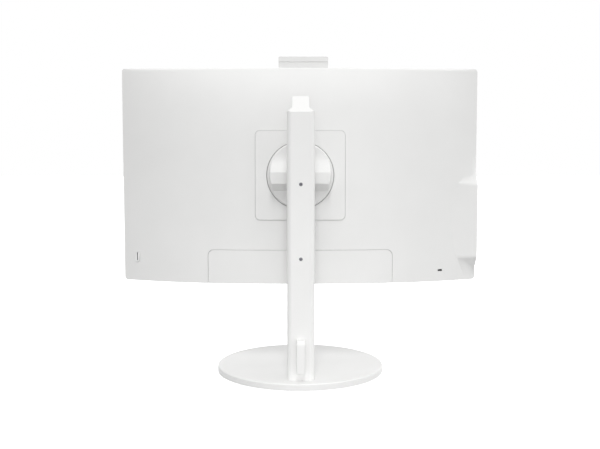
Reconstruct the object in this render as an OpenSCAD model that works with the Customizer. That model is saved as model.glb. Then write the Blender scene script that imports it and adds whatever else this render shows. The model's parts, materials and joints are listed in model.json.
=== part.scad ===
// All-in-one computer on a round stand, seen as an assembly of its real pieces.
// +Z is up, the screen faces -Y, and the origin is the middle of the base on the table.
// The display tilts, lifts, swivels and levels, its camera sinks into the top edge,
// and the disc drive in its side opens.

/* [Display case] */
// Width of the display
display_w = 540; // [520:1:580]
// Height of the display
display_h = 321; // [312:1:340]
// Height of the display's lower edge above the table
display_z = 131.5; // [126:0.5:145]
// Distance of the screen's face in front of the swivel axis
screen_y = 52; // [48:0.5:56]
// Thickness of the display at its side edges
edge_t = 14; // [13:0.5:17]
// Bulge of the back at the lower edge
bulge_bottom = 53.2; // [51:0.2:56]
// Bulge of the back at the upper edge
bulge_top = 26.6; // [24:0.2:32]
// Power of the curve that the back follows from side to side
plan_power = 2.5; // [2.3:0.1:2.8]
// Power of the curve that rolls the back forward at the top
roll_power = 6; // [5:1:8]
// Radius that turns the back over into the top face, where it bulges most
top_round = 10; // [6:0.5:12]
// Wall of the plastic covers
wall = 2.5; // [2:0.1:2.8]
// Corner radius of the display, seen from behind
corner_r = 4; // [3:0.5:8]
// Gap left around covers that drop into an opening
seam = 0.4; // [0.3:0.05:0.6]

/* [Screen] */
// Depth of the front frame's rim
bezel_depth = 7.5; // [7.2:0.1:8.2]
// Wall of the front frame
bezel_wall = 2; // [1.6:0.1:2.4]
// Thickness of the lip in front of the screen
bezel_lip = 1.5; // [1.2:0.1:1.8]
// Width of the lip along the sides and the top
side_bezel = 6.5; // [5:0.5:9]
// Height of the lip under the screen
chin = 18; // [14:1:24]
// Depth that the screen reaches behind the lip under it
chin_lap = 5; // [3:0.5:8]
// Gap between the screen and the front frame's walls, past its rounded corners
panel_gap = 0.5; // [0.3:0.1:1]
// Thickness of the liquid crystal glass
glass_t = 1.4; // [1.1:0.1:1.6]
// Thickness of the light guide
guide_t = 3; // [2.5:0.1:3.3]
// Sheet thickness of the screen's rear tray
tray_sheet = 0.8; // [0.6:0.1:1]
// Sheet thickness of the steel chassis
chassis_t = 1; // [0.8:0.1:1.2]
// Gap between the chassis and the front frame's walls
chassis_gap = 2; // [1.5:0.1:3]

/* [Rear mount] */
// Width of the square trim around the mount
pad_w = 132; // [125:1:138]
// Height of the square trim
pad_h = 131; // [122:1:136]
// Corner radius of the square trim
pad_r = 7; // [4:0.5:10]
// Rise of the trim above the back
pad_rise = 1.2; // [0.8:0.1:2]
// Inset of the trim's posts from its edges
post_inset = 10; // [8:0.5:12]
// Radius of the trim's posts
post_r = 4; // [3:0.5:5]
// Spacing of the mounting holes in the steel bracket
bolt_spacing = 100; // [100:1:101]
// Radius of those holes
bolt_r = 2.15; // [2:0.05:2.5]
// Width of the steel bracket between the outsides of its legs
bracket_w = 160; // [154:1:170]
// Height of the steel bracket
bracket_h = 122; // [120:1:128]
// Sheet thickness of the steel bracket
bracket_t = 2.5; // [2:0.1:3]
// Width of the bracket's feet
bracket_foot = 14; // [12:0.5:18]

/* [Port bay] */
// Width of the port cover
port_w = 274; // [260:1:282]
// Height of the port cover
port_h = 50; // [46:0.5:52]
// Radius of the port cover's upper corners
port_r = 9; // [6:0.5:12]
// Distance of the bay's front edge behind the chassis
bay_setback = 8; // [6:0.5:10]
// Height of the sockets' mouths above the display's lower edge
mouth_rise = 23.5; // [20:0.5:26]

/* [Disc drive] */
// Height of the drive's lower end above the display's lower edge
drive_rise = 28; // [25:1:37]
// Length of the drive along the display's edge
drive_l = 126; // [122:0.5:126]
// Depth of the drive into the display
drive_d = 126; // [124:1:130]
// Thickness of the drive
drive_t = 9.5; // [8.8:0.1:9.8]
// Length of the flat back of the drive's pod
pod_flat = 111; // [111:1:118]
// Length of each sloping end of the pod
pod_slope = 16.5; // [16:0.5:20]
// Rise of the pod above the display's edge
pod_rise = 15; // [15:0.5:17]
// Radius where the pod's flat back turns into its sloping ends
pod_r = 8; // [5:0.5:10]
// Wall of the pod
pod_wall = 1.6; // [1.2:0.1:1.6]
// Sheet thickness of the drive's case
case_t = 0.6; // [0.5:0.1:0.8]
// Thickness of the tray
tray_t = 6; // [5.4:0.1:6.2]
// Thickness of the tray's front plate
front_plate_t = 2.2; // [2:0.1:2.8]
// Radius of the disc recess
disc_recess_r = 60; // [58:0.25:60]
// Travel of the tray
tray_travel = 110; // [90:1:112]

/* [Camera] */
// Width of the camera housing
camera_w = 75; // [60:1:90]
// Thickness of the camera housing
camera_t = 8; // [7:0.1:8.4]
// Height that the camera stands above the display
camera_up = 18.5; // [15:0.5:22]
// Length of the camera housing that stays inside when it is up
camera_in = 24; // [20:1:28]
// Offset of the camera from the display's middle
camera_x = -5; // [-10:1:6]
// Radius of the camera's lens
lens_r = 3.5; // [2.5:0.1:4.5]

/* [Buttons and slots] */
// Distance of the power button from the display's side edge
power_inset = 22; // [20:0.5:28]
// Height of the power button's middle above the display's lower edge
power_rise = 36; // [30:1:44]
// Width of the power button
power_w = 6.2; // [5:0.1:7]
// Length of the power button
power_l = 15; // [12:0.5:18]
// Travel of the power button
power_travel = 0.8; // [0.5:0.1:1]
// Distance of the lock slot from the display's side edge
lock_inset = 58; // [52:1:64]
// Height of the lock slot's middle above the display's lower edge
lock_rise = 16.7; // [14:0.1:20]
// Length of the lock slot
lock_l = 7; // [6:0.5:8]
// Height of the lock slot
lock_h = 3; // [2.6:0.1:3.6]

/* [Tilting head] */
// Radius of the round head
disc_r = 49; // [46:0.5:50]
// Ring gap between the head and the trim
ring_gap = 0.6; // [0.5:0.1:2]
// Rise of the head above the trim
disc_rise = 4; // [3:0.1:5]
// Depth of the head's steel plate below its rear face
plate_inset = 10; // [9:0.1:11]
// Thickness of the head's steel plate
plate_t = 2.5; // [2:0.1:3]
// Wall of the head's cover
head_wall = 2.2; // [1.8:0.1:2.6]
// Distance of the tilt axis behind the head's rear face
tilt_reach = 7; // [6:0.1:8]
// Drop of the tilt axis below the display's middle
tilt_drop = 3; // [2:0.1:4]
// Distance of the hinge bar's flat back behind the tilt axis
bar_reach = 10; // [9.6:0.1:12]
// Height of the hinge bar's foot above the tilt axis
bar_top = 22.5; // [21:0.5:25]
// Depth of the hinge bar's foot below the tilt axis
bar_bottom = 20; // [19:0.5:23]
// Height of the hinge bar's flat back above the tilt axis
face_top = 7.3; // [6:0.1:9]
// Depth of the hinge bar's flat back below the tilt axis
face_bottom = 8.7; // [7:0.1:10]
// Radius of the tilt pin
tilt_pin_r = 3; // [2.5:0.1:3.3]
// Tilt of the screen's top to the rear, in degrees
tilt_back = 20; // [15:1:20]
// Tilt of the screen's top to the front, in degrees
tilt_forward = 5; // [3:1:6]
// Radius of the levelling pivot
pivot_r = 10; // [8:0.5:12]
// Radius of the pivot's cable hole
pivot_bore_r = 6; // [4:0.5:6.5]
// Thickness of the pivot's friction washer
pivot_washer_t = 1.6; // [1.2:0.1:2]
// Radius of the pivot's friction washer
pivot_washer_r = 30; // [26:1:34]
// Thickness of the pivot's retainer
retainer_t = 2; // [1.5:0.1:2.5]

/* [Lift] */
// Half width of the hinge arm
arm_half_w = 9; // [8:0.5:10]
// Half height of the hinge arm
arm_half_h = 9; // [8:0.5:10]
// Radius of the guide rods
rod_r = 3; // [2.5:0.1:3.2]
// Distance of each guide rod from the column's middle
rod_x = 8; // [7.6:0.1:8.4]
// Wall of the carriage's sliding bushes
bush_wall = 1.2; // [1:0.1:1.4]
// Length of each bush
bush_l = 8; // [6:0.5:10]
// Half height of the carriage
carriage_half_h = 20; // [18:0.5:22]
// Travel of the display upward
lift_up = 40; // [30:1:40]
// Travel of the display downward
lift_down = 90; // [60:1:95]
// Radius of the spring drum
drum_r = 7.5; // [6.5:0.1:8]
// Width of the spring strip
strip_w = 8; // [6:0.5:8.5]
// Thickness of the spring strip
strip_t = 0.3; // [0.2:0.05:0.5]

/* [Column] */
// Width of the column
column_w = 38; // [37:0.5:42]
// Distance of the column's rear face behind the swivel axis
column_y = 105; // [104:0.5:107]
// Depth of the column
column_d = 43; // [42:0.5:44]
// Radius of the column's upright edges
column_r = 7; // [5:0.5:8]
// Wall of the column's covers
column_wall = 2.4; // [2:0.1:2.6]
// Depth of the column's front cover
front_cover_d = 12; // [10:0.5:14]
// Height of the column's rear edge above the table
column_rear_z = 378; // [376:0.5:384]
// Rise of the column's sloping top
slope_rise = 24; // [20:0.5:28]
// Depth of the column's sloping top
slope_run = 33; // [28:0.5:36]
// Width of the column's narrow top
top_w = 23; // [20:0.5:26]
// Height over which the column narrows
shoulder = 7; // [5:0.5:9]
// Sheet thickness of the steel channel
channel_t = 1.6; // [1.2:0.1:1.8]
// Height of the upper cover screw above the table
screw_hi_z = 280.4; // [270:0.2:300]
// Height of the lower cover screw above the table
screw_lo_z = 178.5; // [160:0.5:200]
// Radius of the cover screws' heads
screw_head_r = 2.5; // [2:0.1:3]

/* [Cable hook] */
// Height of the hook's top above the table
hook_top_z = 67.4; // [64:0.2:78]
// Height of the hook's open lower end above the table
hook_low_z = 22.4; // [20:0.2:28]
// Width of the hook
hook_w = 11.4; // [9:0.2:14]
// Gap between the hook and the column
hook_gap = 9.5; // [7:0.5:10]
// Thickness of the hook
hook_t = 3.5; // [2.5:0.1:4]
// Height of the root that joins the hook to the column
hook_root = 9; // [7:0.5:12]

/* [Base] */
// Radius of the base
base_r = 123.5; // [122:0.5:128]
// Height of the base
base_h = 10.5; // [10.5:0.1:12]
// Radius of the base's upper edge
base_edge_r = 2; // [1:0.1:3]
// Inset of the turntable plate from the base's edge
turn_inset = 2; // [1.5:0.5:8]
// Thickness of the turntable plate
turn_t = 2.2; // [1.8:0.1:2.4]
// Thickness of the swivel's slip ring
slip_ring_t = 1; // [0.8:0.1:1.2]
// Inset of the steel weight from the base's edge
weight_inset = 12.5; // [10:0.5:16]
// Thickness of the steel weight
weight_t = 3.5; // [3.2:0.1:3.8]
// Radius of the swivel pin
swivel_r = 8; // [6:0.5:10]
// Height of the rubber feet
foot_h = 1.2; // [1:0.1:1.4]
// Radius of the rubber feet
foot_r = 7; // [5:0.5:9]
// Inset of the rubber feet from the turntable's edge
foot_inset = 14; // [9:0.5:20]
// Height of the column's foot block
foot_block_h = 24; // [18:1:30]

/* [Hidden] */
$fn = 64;

// Clearances: a shaft in its bore, flat faces that slip, and pieces that pass each other
run = 0.05;
slip = 0.1;
clear = 0.3;
// How far a cutting shape reaches past the face that it opens
past = 1;
// How far the drive's pod lies inside the display's side
flush = 0.02;

// Planes of the display, from the screen's face to the back
front_y = -screen_y;
edge_y = front_y + edge_t;
split_y = front_y + bezel_depth;
panel_y = front_y + bezel_lip;
guide_y = panel_y + glass_t;
chassis_y = guide_y + guide_t + tray_sheet;
inside_y = chassis_y + chassis_t;
half_w = display_w / 2;
top_z = display_z + display_h;
mid_z = display_z + display_h / 2;

// The back: a bulge that falls to the sides, rolls forward near the top and turns over into the top face
function turn_over(up) = top_round - sqrt(pow(top_round, 2) - pow(min(max(up, 0), top_round), 2));
function bulge(z) = bulge_bottom - turn_over(z - top_z + top_round)
  - (bulge_bottom - bulge_top) * pow((z - display_z) / display_h, roll_power);
function back_y(x, z) = edge_y + bulge(z) * (1 - pow(abs(x) / half_w, plan_power));

// Planes of the mount and the head, from the bracket to the hinge bar
pad_y = back_y(0, mid_z) + pad_rise;
disc_y = pad_y + disc_rise;
plate_y = disc_y - plate_inset - plate_t;
bracket_y = plate_y - pivot_washer_t - slip - bracket_t;
retainer_y = bracket_y - slip - retainer_t;
tilt_y = disc_y + tilt_reach;
tilt_z = mid_z - tilt_drop;
bar_y = tilt_y + bar_reach;
washer_t = 1.9;
retainer_w = 6;
slot_gap = 1.5;
head_rim = 2.2;
hook_bend = 6.4;
bar_taper = 3.5;
bar_foot_r = 30;
bar_foot_steps = 8;
cheek_in = arm_half_w + slip + washer_t;
cheek_t = 3;
cheek_out = cheek_in + cheek_t;
cheek_r = 7;
nut_t = 4;
nut_r = 5.7;

// Planes of the base
turn_z = foot_h;
slip_z = turn_z + turn_t + slip;
weight_z = slip_z + slip_ring_t;
weight_top_z = weight_z + weight_t;
turn_r = base_r - turn_inset;
weight_r = base_r - weight_inset;
clip_t = 0.7;
clip_w = 5;
slip_ring_inset = 12;
foot_count = 6;

// The column and the lift inside it
column_front_y = column_y - column_d;
cover_split_y = column_front_y + front_cover_d;
channel_half_w = column_w / 2 - column_wall - clear;
channel_in = channel_half_w - channel_t;
channel_gap = 2;
channel_back_y = column_y - column_r + channel_gap / 2;
channel_front_y = cover_split_y + channel_gap;
channel_top_z = column_rear_z - channel_gap;
rod_setback = 11.5;
rod_y = channel_back_y - channel_t - rod_setback;
carriage_half_w = channel_in - 2 * clear;
carriage_half_d = 8;
carriage_y0 = rod_y - carriage_half_d;
carriage_y1 = rod_y + carriage_half_d;
bush_r = rod_r + run + bush_wall;
foot_top_z = base_h + foot_block_h;
stop_gap = 1;
rail_top_z = tilt_z + carriage_half_h + lift_up + stop_gap;
rail_plate_t = 3;
drum_gap = 1.5;
drum_end_gap = 1;
strip_gap = 2;
drum_z = rail_top_z + rail_plate_t + drum_gap + drum_r;
strip_setback = 4;
strip_y = rod_y + strip_setback;
drum_y = strip_y - slip - drum_r;
axle_r = 2.5;
screw_r = 0.6 * screw_head_r;
screw_socket_r = 0.4 * screw_head_r;
screw_head_t = 1.6;
screw_seat_t = 1;
screw_seat_y = channel_back_y + screw_seat_t;
screw_boss_wall = 2;
column_bolt_r = 2.5;
column_bolt_end = 8;
column_bolt_l = foot_block_h - column_bolt_end;
column_bolt_x = 8;
column_bolt_front = 8;
column_bolt_back = 6;
column_bolt_places = [
  for (x = [-column_bolt_x, column_bolt_x], y = [-column_bolt_front, column_bolt_back]) [x, rod_y + y]
];

// The screen and the chassis, clear of the front frame's rounded corners
panel_inset = bezel_wall + panel_gap + 0.3 * (corner_r - bezel_wall);
panel_half_w = half_w - panel_inset;
panel_z = [display_z + chin - chin_lap, top_z - panel_inset];
tray_rim = tray_sheet + clear;
chassis_inset = bezel_wall + chassis_gap;
bracket_screw_r = 2;
bracket_screw_head_t = 2.4;
bracket_screw_inset = 8;
bracket_screw_places = [
  for (x = [-1, 1], z = [-1, 0, 1])
    [x * (bracket_w + bracket_foot) / 2, mid_z + z * (bracket_h / 2 - bracket_screw_inset)]
];

// The board and what stands on it
standoff = 5;
board_side_gap = 8;
board_half_w = bracket_w / 2 - board_side_gap;
mouth_reach = 4;
board_z = display_z + mouth_rise + mouth_reach;
board_h = 165;
board_y = inside_y + standoff;
board_t = 1.6;
board_back_y = board_y + board_t;
board_post_inset = 6;
board_post_places = [
  for (x = [-1, 1], z = [board_post_inset, board_h - board_post_inset])
    [x * (board_half_w - board_post_inset), board_z + z]
];
post_screw_r = 1.5;
cpu_rise = 112;
cpu_z = board_z + cpu_rise;
cpu_half_w = 19;
cpu_t = 3.5;
coil_x = [30, 38];
coil_t = 6;
coil_w = 7;
coil_pitch = 10;
memory_x = [-66, 2];
memory_rises = [21, 52];
memory_h = 30;
memory_slot_h = 4;
memory_slot_t = 5;
card_lift = 2;
card_t = 1.2;
chip_t = 1;
ssd_x = [24, 46];
ssd_rise = 22;
ssd_z = board_z + ssd_rise;
ssd_l = 62;
ssd_slot_h = 4;
ssd_post_r = 2.5;
cold_w = 56;
cold_t = 4;
cold_y = board_back_y + cpu_t;
pipe_r = 3;
pipe_y = cold_y + cold_t;
pipe_bend_r = 14;
fan_w = 80;
fan_h = 72;
fan_t = 14;
fan_gap = 1;
fan_x = bracket_w / 2 + bracket_foot + fan_gap + fan_w / 2;
fin_h = 18;
fin_t = 0.5;
fin_pitch = 4;
fin_side = 9;
fin_front = 4;
fin_back = 3.5;
fin_y = [inside_y + fin_front, pipe_y + fin_back];
fin_top_gap = 6;
fin_z = top_z - wall - fin_top_gap - fin_h;
fan_z = fin_z - fan_gap - fan_h;
pipe_z = fin_z + fin_h / 2;
rotor_r = 30;
rotor_hub_r = 13;
blade_count = 13;
blade_t = 0.8;
fan_axis_z = fan_z + fan_h / 2 - fan_gap;
fan_shaft_r = 1.5;
fan_wall = 1.5;
mouth_z = display_z + mouth_rise;
shield_rise = 1.5;
shield_z = mouth_z + shield_rise;
shield_t = 1;
shield_d = 24;

// Sockets along the board's lower edge: place, width, depth off the board, mouths, mouth width and height
sockets = [
  [-58, 16, 13.5, 1, 11.7, 8],
  [-38, 14.5, 15.6, 2, 12.5, 5],
  [-20, 14.5, 15.6, 2, 12.5, 5],
  [-1, 15.5, 6.4, 1, 14, 4.6],
  [18, 15.5, 6.4, 1, 14, 4.6]
];
socket_depth = 16;
mouth_depth = 9.5;
audio_x = 36;
audio_w = 7.5;
audio_r = 1.8;
audio_depth = 14;
audio_lift = 4.2;
audio_y = board_back_y + audio_lift;
jack_x = 56;
jack_w = 10;
jack_h = 11;
jack_r = 2.85;
jack_pin_r = 0.85;
jack_y = board_back_y + jack_h / 2;

// The lock plate, vents, and the speakers beside the port bay, under the lock plate
lock_x = -half_w + lock_inset;
lock_z = display_z + lock_rise;
lock_plate_drop = 6;
lock_plate_y = back_y(lock_x, lock_z) - wall - lock_plate_drop;
lock_plate_t = 1.5;
lock_plate_half = [11, 7];
lock_leg_t = 2;
speaker_gap = 4;
speaker_half_w = 25;
speaker_x = port_w / 2 + seam + speaker_gap + speaker_half_w;
vent_w = 3;
vent_pitch = 6;
top_vents = 13;
low_vents = floor(2 * speaker_half_w / vent_pitch) - 1;
vent_lap = 1;
vent_d = 9;
vent_y = [edge_y - vent_lap, edge_y - vent_lap + vent_d];
speaker_lap = 2;
speaker_y1 = vent_y[1] + speaker_lap;
speaker_floor = 1;
speaker_z = display_z + wall + speaker_floor;
speaker_clear = 0.5;
speaker_h = lock_rise - wall - speaker_floor - speaker_clear;
speaker_cone_r = 6;
speaker_cone_depth = 3;

// The camera, the drive and the buttons
camera_gap = 1.3;
camera_y0 = inside_y + camera_gap;
camera_y1 = camera_y0 + camera_t;
camera_low_z = top_z - camera_in;
camera_edge_r = 2;
lens_depth = 2.5;
lens_sunk = 0.2;
groove_drop = 7.8;
groove_h = 1.2;
groove_z = [top_z + camera_up - groove_drop - groove_h, top_z + camera_up - groove_drop];
groove_depth = 0.8;
guide_wall = 4;
drive_z = display_z + drive_rise + drive_l / 2;
drive_gap = 2;
drive_y0 = inside_y + drive_gap;
drive_y1 = drive_y0 + drive_t;
drive_x0 = -half_w + front_plate_t;
drive_slot_y = [drive_y0 - clear, drive_y1 + clear];
drive_slot_half = drive_l / 2 + clear;
tray_gap = 0.6;
tray_y0 = drive_y0 + case_t + tray_gap;
tray_y1 = tray_y0 + tray_t;
tray_half = drive_l / 2 - case_t - tray_gap;
tray_hold = 12;
tray_d = tray_travel + tray_hold;
drive_foot = [10, 15];
drive_foot_inset = 5;
pod_d = 62;
disc_x = drive_x0 + disc_recess_r + tray_gap;
recess_depth = 2.6;
spindle_r = 7.4;
eject_w = 10;
eject_h = 3.6;
eject_y = (drive_y0 + drive_y1) / 2;
eject_drop = 42;
eject_z = drive_z - eject_drop;
eject_travel = 0.8;
eject_sunk = 0.3;
eject_tail = 0.6;
power_x = half_w - power_inset;
power_z = display_z + power_rise;
power_y = back_y(power_x, power_z);
power_raise = 1.4;
power_depth = 7;
power_flange_y = power_y - power_depth;
power_flange_t = 1.5;
power_flange_w = 1.2;
switch_half_w = 3;
switch_board = [16, 22];

// How finely the back's curved face is divided
back_columns = 26;
back_rows = 10;

// Shape helpers: a flat outline drawn in X and Z and run along Y, one drawn in Y and Z and run along X
module y_prism(y0, y1) translate([0, y1, 0]) rotate([90, 0, 0]) linear_extrude(y1 - y0) children();
module x_prism(x0, x1) translate([x0, 0, 0]) rotate([90, 0, 90]) linear_extrude(x1 - x0) children();
module span_box(x, y, z) translate([x[0], y[0], z[0]]) cube([x[1] - x[0], y[1] - y[0], z[1] - z[0]]);
module y_rod(x, z, r, y0, y1) translate([x, y1, z]) rotate([90, 0, 0]) cylinder(r = r, h = y1 - y0);
module x_rod(y, z, r, x0, x1) translate([x0, y, z]) rotate([0, 90, 0]) cylinder(r = r, h = x1 - x0);
module z_rod(x, y, r, z0, z1) translate([x, y, z0]) cylinder(r = r, h = z1 - z0);
module rounded_rect(w, h, r) {
  square([w - 2 * r, h], center = true);
  square([w, h - 2 * r], center = true);
  for (x = [-1, 1], y = [-1, 1]) translate([x * (w / 2 - r), y * (h / 2 - r)]) circle(r);
}
module pill(w, h) {
  square([w, h - w], center = true);
  for (y = [-1, 1]) translate([0, y * (h - w) / 2]) circle(w / 2);
}
module ring(r_in, r_out, z0, z1) difference() {
  z_rod(0, 0, r_out, z0, z1);
  z_rod(0, 0, r_in, z0 - past, z1 + past);
}

// Points of a grid over the back, closer together towards the sides, where the curve is tighter
function grid_x(x0, x1, i, n) = (x0 + x1) / 2 + (x1 - x0) / 2 * sin(90 * (2 * i / n - 1));
function grid_z(z0, z1, j, n) = z0 + (z1 - z0) * j / n;
function grid_triangles(columns, rows, first, flip) = [
  for (i = [0 : columns - 1], j = [0 : rows - 1])
    let (a = first + i * (rows + 1) + j, b = a + rows + 1)
    each flip ? [[a, a + 1, b + 1], [a, b + 1, b]] : [[a, b + 1, a + 1], [a, b, b + 1]]
];
function grid_edge(columns, rows) = concat(
  [for (i = [0 : columns]) i * (rows + 1)],
  [for (j = [1 : rows]) columns * (rows + 1) + j],
  [for (i = [columns - 1 : -1 : 0]) i * (rows + 1) + rows],
  [for (j = [rows - 1 : -1 : 1]) j]
);

// A curved sheet that follows the back: its rear face is rise above it, its front face depth below it
module back_sheet(x, z, columns, rows, rise, depth) {
  count = (columns + 1) * (rows + 1);
  edge = grid_edge(columns, rows);
  polyhedron(
    points = [
      for (face = [rise, -depth], i = [0 : columns], j = [0 : rows])
        let (px = grid_x(x[0], x[1], i, columns), pz = grid_z(z[0], z[1], j, rows))
        [px, back_y(px, pz) + face, pz]
    ],
    faces = concat(
      grid_triangles(columns, rows, 0, false),
      grid_triangles(columns, rows, count, true),
      [
        for (k = [0 : len(edge) - 1])
          let (a = edge[k], b = edge[(k + 1) % len(edge)])
          each [[a, b + count, b], [a, a + count, b + count]]
      ]
    )
  );
}

// Rows of the block: close together in the rounded corners, even between them
function corner_rows(r) = [for (a = [0 : 30 : 60]) r * (1 - cos(a))];
function block_rows(z0, z1, r) = concat(
  [for (d = corner_rows(r)) z0 + d],
  [for (j = [0 : back_rows]) z0 + r + (z1 - z0 - 2 * r) * j / back_rows],
  [for (k = [2 : -1 : 0]) z1 - corner_rows(r)[k]]
);
// How far the rounded corners draw in the block's sides at a height
function corner_drop(z, z0, z1, r) =
  let (d = max(z0 + r - z, z - z1 + r, 0)) r - sqrt(max(r * r - d * d, 0));

// A block from a flat front plane to the back, drawn in by inset on every side but the front
module back_block(inset, y0) {
  z0 = display_z + inset;
  z1 = top_z - inset;
  r = corner_r - inset / 2;
  zs = block_rows(z0, z1, r);
  rows = len(zs) - 1;
  count = (back_columns + 1) * (rows + 1);
  edge = grid_edge(back_columns, rows);
  flat = [
    for (i = [0 : back_columns], z = zs)
      let (x = half_w - inset - corner_drop(z, z0, z1, r)) [grid_x(-x, x, i, back_columns), z]
  ];
  polyhedron(
    points = concat(
      [for (p = flat) [p[0], back_y(p[0], p[1]) - inset, p[1]]],
      [for (k = edge) [flat[k][0], y0, flat[k][1]]]
    ),
    faces = concat(
      grid_triangles(back_columns, rows, 0, false),
      [[for (k = [len(edge) - 1 : -1 : 0]) count + k]],
      [
        for (k = [0 : len(edge) - 1])
          let (next = (k + 1) % len(edge))
          each [[edge[k], count + k, count + next], [edge[k], count + next, edge[next]]]
      ]
    )
  );
}

// The drive's pod: a flat back that turns round into a sloping end above and below
module pod(inset, y0) {
  flat = pod_flat / 2 - inset;
  full = flat + pod_slope;
  rear_y = edge_y + pod_rise - inset;
  turn = pod_r * tan(atan(pod_rise / pod_slope) / 2);
  x_prism(-half_w + inset + flush, -half_w + pod_d - inset) hull() {
    translate([y0, drive_z - full]) square([edge_y - y0, 2 * full]);
    for (z = [-1, 1]) translate([rear_y - pod_r, drive_z + z * (flat - turn)]) circle(pod_r);
  }
}

// Outline of the display seen from behind
module display_outline(inset) translate([0, mid_z])
  rounded_rect(display_w - 2 * inset, display_h - 2 * inset, max(corner_r - inset, 0.5));

// Outline of the port cover, open at the display's lower edge
module port_outline(gap) {
  z0 = display_z - past;
  z1 = display_z + port_h + gap;
  half = port_w / 2 + gap;
  translate([-half, z0]) square([2 * half, z1 - port_r - z0]);
  translate([-half + port_r, z0]) square([2 * (half - port_r), z1 - z0]);
  for (x = [-1, 1]) translate([x * (half - port_r), z1 - port_r]) circle(port_r);
}

// Pieces that stand on the table

module turntable_plate() color("whitesmoke") ring(swivel_r, turn_r, turn_z, turn_z + turn_t);

module base_feet() color("dimgray")
  for (k = [1 : foot_count]) rotate(360 / foot_count * k) z_rod(turn_r - foot_inset, 0, foot_r, 0, foot_h);

module swivel_pin() color("silver") z_rod(0, 0, swivel_r, turn_z, weight_top_z + slip + clip_t);

module swivel_clip() color("gray")
  ring(swivel_r, swivel_r + clip_w, weight_top_z + slip, weight_top_z + slip + clip_t);

// Pieces of the base that swivel

module swivel_washer() color("ivory") 
  ring(swivel_r + slip_ring_inset, weight_r - slip_ring_inset, slip_z, weight_z);

module base_weight() color("gray") difference() {
  z_rod(0, 0, weight_r, weight_z, weight_top_z);
  z_rod(0, 0, swivel_r + run, weight_z - past, weight_top_z + past);
  for (p = column_bolt_places) {
    z_rod(p[0], p[1], column_bolt_r, weight_z - past, weight_top_z + past);
    z_rod(p[0], p[1], 2 * column_bolt_r, weight_z - past, weight_z + weight_t / 2);
  }
}

module base_cover() color("whitesmoke") difference() {
  rotate_extrude() {
    translate([0, weight_z]) square([base_r - base_edge_r, base_h - weight_z]);
    translate([0, weight_z]) square([base_r, base_h - base_edge_r - weight_z]);
    translate([base_r - base_edge_r, base_h - base_edge_r]) circle(base_edge_r);
  }
  z_rod(0, 0, weight_r + clear, weight_z - past, weight_top_z);
  z_rod(0, 0, swivel_r + clip_w + clear, weight_z - past, weight_top_z + slip + clip_t + clear);
  for (p = column_bolt_places) z_rod(p[0], p[1], column_bolt_r, weight_z, base_h + past);
}

module column_foot() color("silver") difference() {
  span_box([-channel_in, channel_in], [channel_front_y, channel_back_y - channel_t], [base_h, foot_top_z]);
  for (p = column_bolt_places)
    z_rod(p[0], p[1], column_bolt_r, base_h - past, base_h + column_bolt_l + past);
}

module column_bolts() color("dimgray")
  for (p = column_bolt_places) {
    z_rod(p[0], p[1], column_bolt_r, weight_z + weight_t / 2, base_h + column_bolt_l);
    z_rod(p[0], p[1], 2 * column_bolt_r, weight_z + slip, weight_z + weight_t / 2);
  }

// Pieces of the column

module column_frame() color("silver") difference() {
  union() {
    difference() {
      span_box([-channel_half_w, channel_half_w], [channel_front_y, channel_back_y],
        [base_h, channel_top_z]);
      span_box([-channel_in, channel_in], [channel_front_y - past, channel_back_y - channel_t],
        [base_h - past, channel_top_z - channel_t]);
    }
    span_box([-channel_in, channel_in], [carriage_y0, channel_back_y - channel_t],
      [rail_top_z, rail_top_z + rail_plate_t]);
  }
  span_box([-strip_w / 2 - strip_gap, strip_w / 2 + strip_gap],
    [strip_y - strip_gap, strip_y + strip_t + strip_gap],
    [rail_top_z - past, rail_top_z + rail_plate_t + past]);
  x_rod(drum_y, drum_z, axle_r, -column_w, column_w);
  for (z = [screw_lo_z, screw_hi_z]) y_rod(0, z, screw_r, channel_back_y - 2 * channel_t, column_y);
}

module column_form(inset, z0) {
  slope_drop = inset * norm([slope_rise, slope_run]) / slope_run;
  wide_z = column_rear_z - inset / 2;
  peak_z = column_rear_z + slope_rise - slope_drop;
  rear_z = column_rear_z - slope_drop;
  intersection() {
    translate([0, column_y - column_d / 2, z0]) linear_extrude(peak_z - z0)
      rounded_rect(column_w - 2 * inset, column_d - 2 * inset, column_r - inset);
    x_prism(-column_w, column_w) polygon([
      [column_front_y - past, z0], [column_y, z0], [column_y, rear_z],
      [column_y - slope_run, peak_z], [column_front_y - past, peak_z]
    ]);
    y_prism(column_front_y - past, column_y + past) polygon([
      [-column_w / 2, z0], [column_w / 2, z0],
      [column_w / 2, wide_z], [top_w / 2 - inset, wide_z + shoulder],
      [top_w / 2 - inset, peak_z], [inset - top_w / 2, peak_z],
      [inset - top_w / 2, wide_z + shoulder], [-column_w / 2, wide_z]
    ]);
  }
}

module column_skin() difference() {
  column_form(0, base_h);
  column_form(column_wall, base_h - past);
}

module column_rear_shell() color("whitesmoke") difference() {
  union() {
    intersection() {
      column_skin();
      span_box([-column_w, column_w], [cover_split_y + slip, column_y + past],
        [base_h - past, column_rear_z + 2 * slope_rise]);
    }
    for (z = [screw_lo_z, screw_hi_z])
      y_rod(0, z, screw_head_r + screw_boss_wall, channel_back_y, column_y - column_wall / 2);
  }
  for (z = [screw_lo_z, screw_hi_z]) {
    y_rod(0, z, screw_head_r, screw_seat_y, column_y + past);
    y_rod(0, z, screw_r, channel_back_y - past, column_y);
  }
}

module column_front_shell() color("whitesmoke") difference() {
  intersection() {
    column_skin();
    span_box([-column_w, column_w], [column_front_y - past, cover_split_y - slip],
      [base_h - past, column_rear_z + 2 * slope_rise]);
  }
  span_box([-arm_half_w - slot_gap, arm_half_w + slot_gap], [column_front_y - past, cover_split_y],
    [tilt_z - arm_half_h - lift_down - slot_gap, tilt_z + arm_half_h + lift_up + slot_gap]);
}

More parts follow.
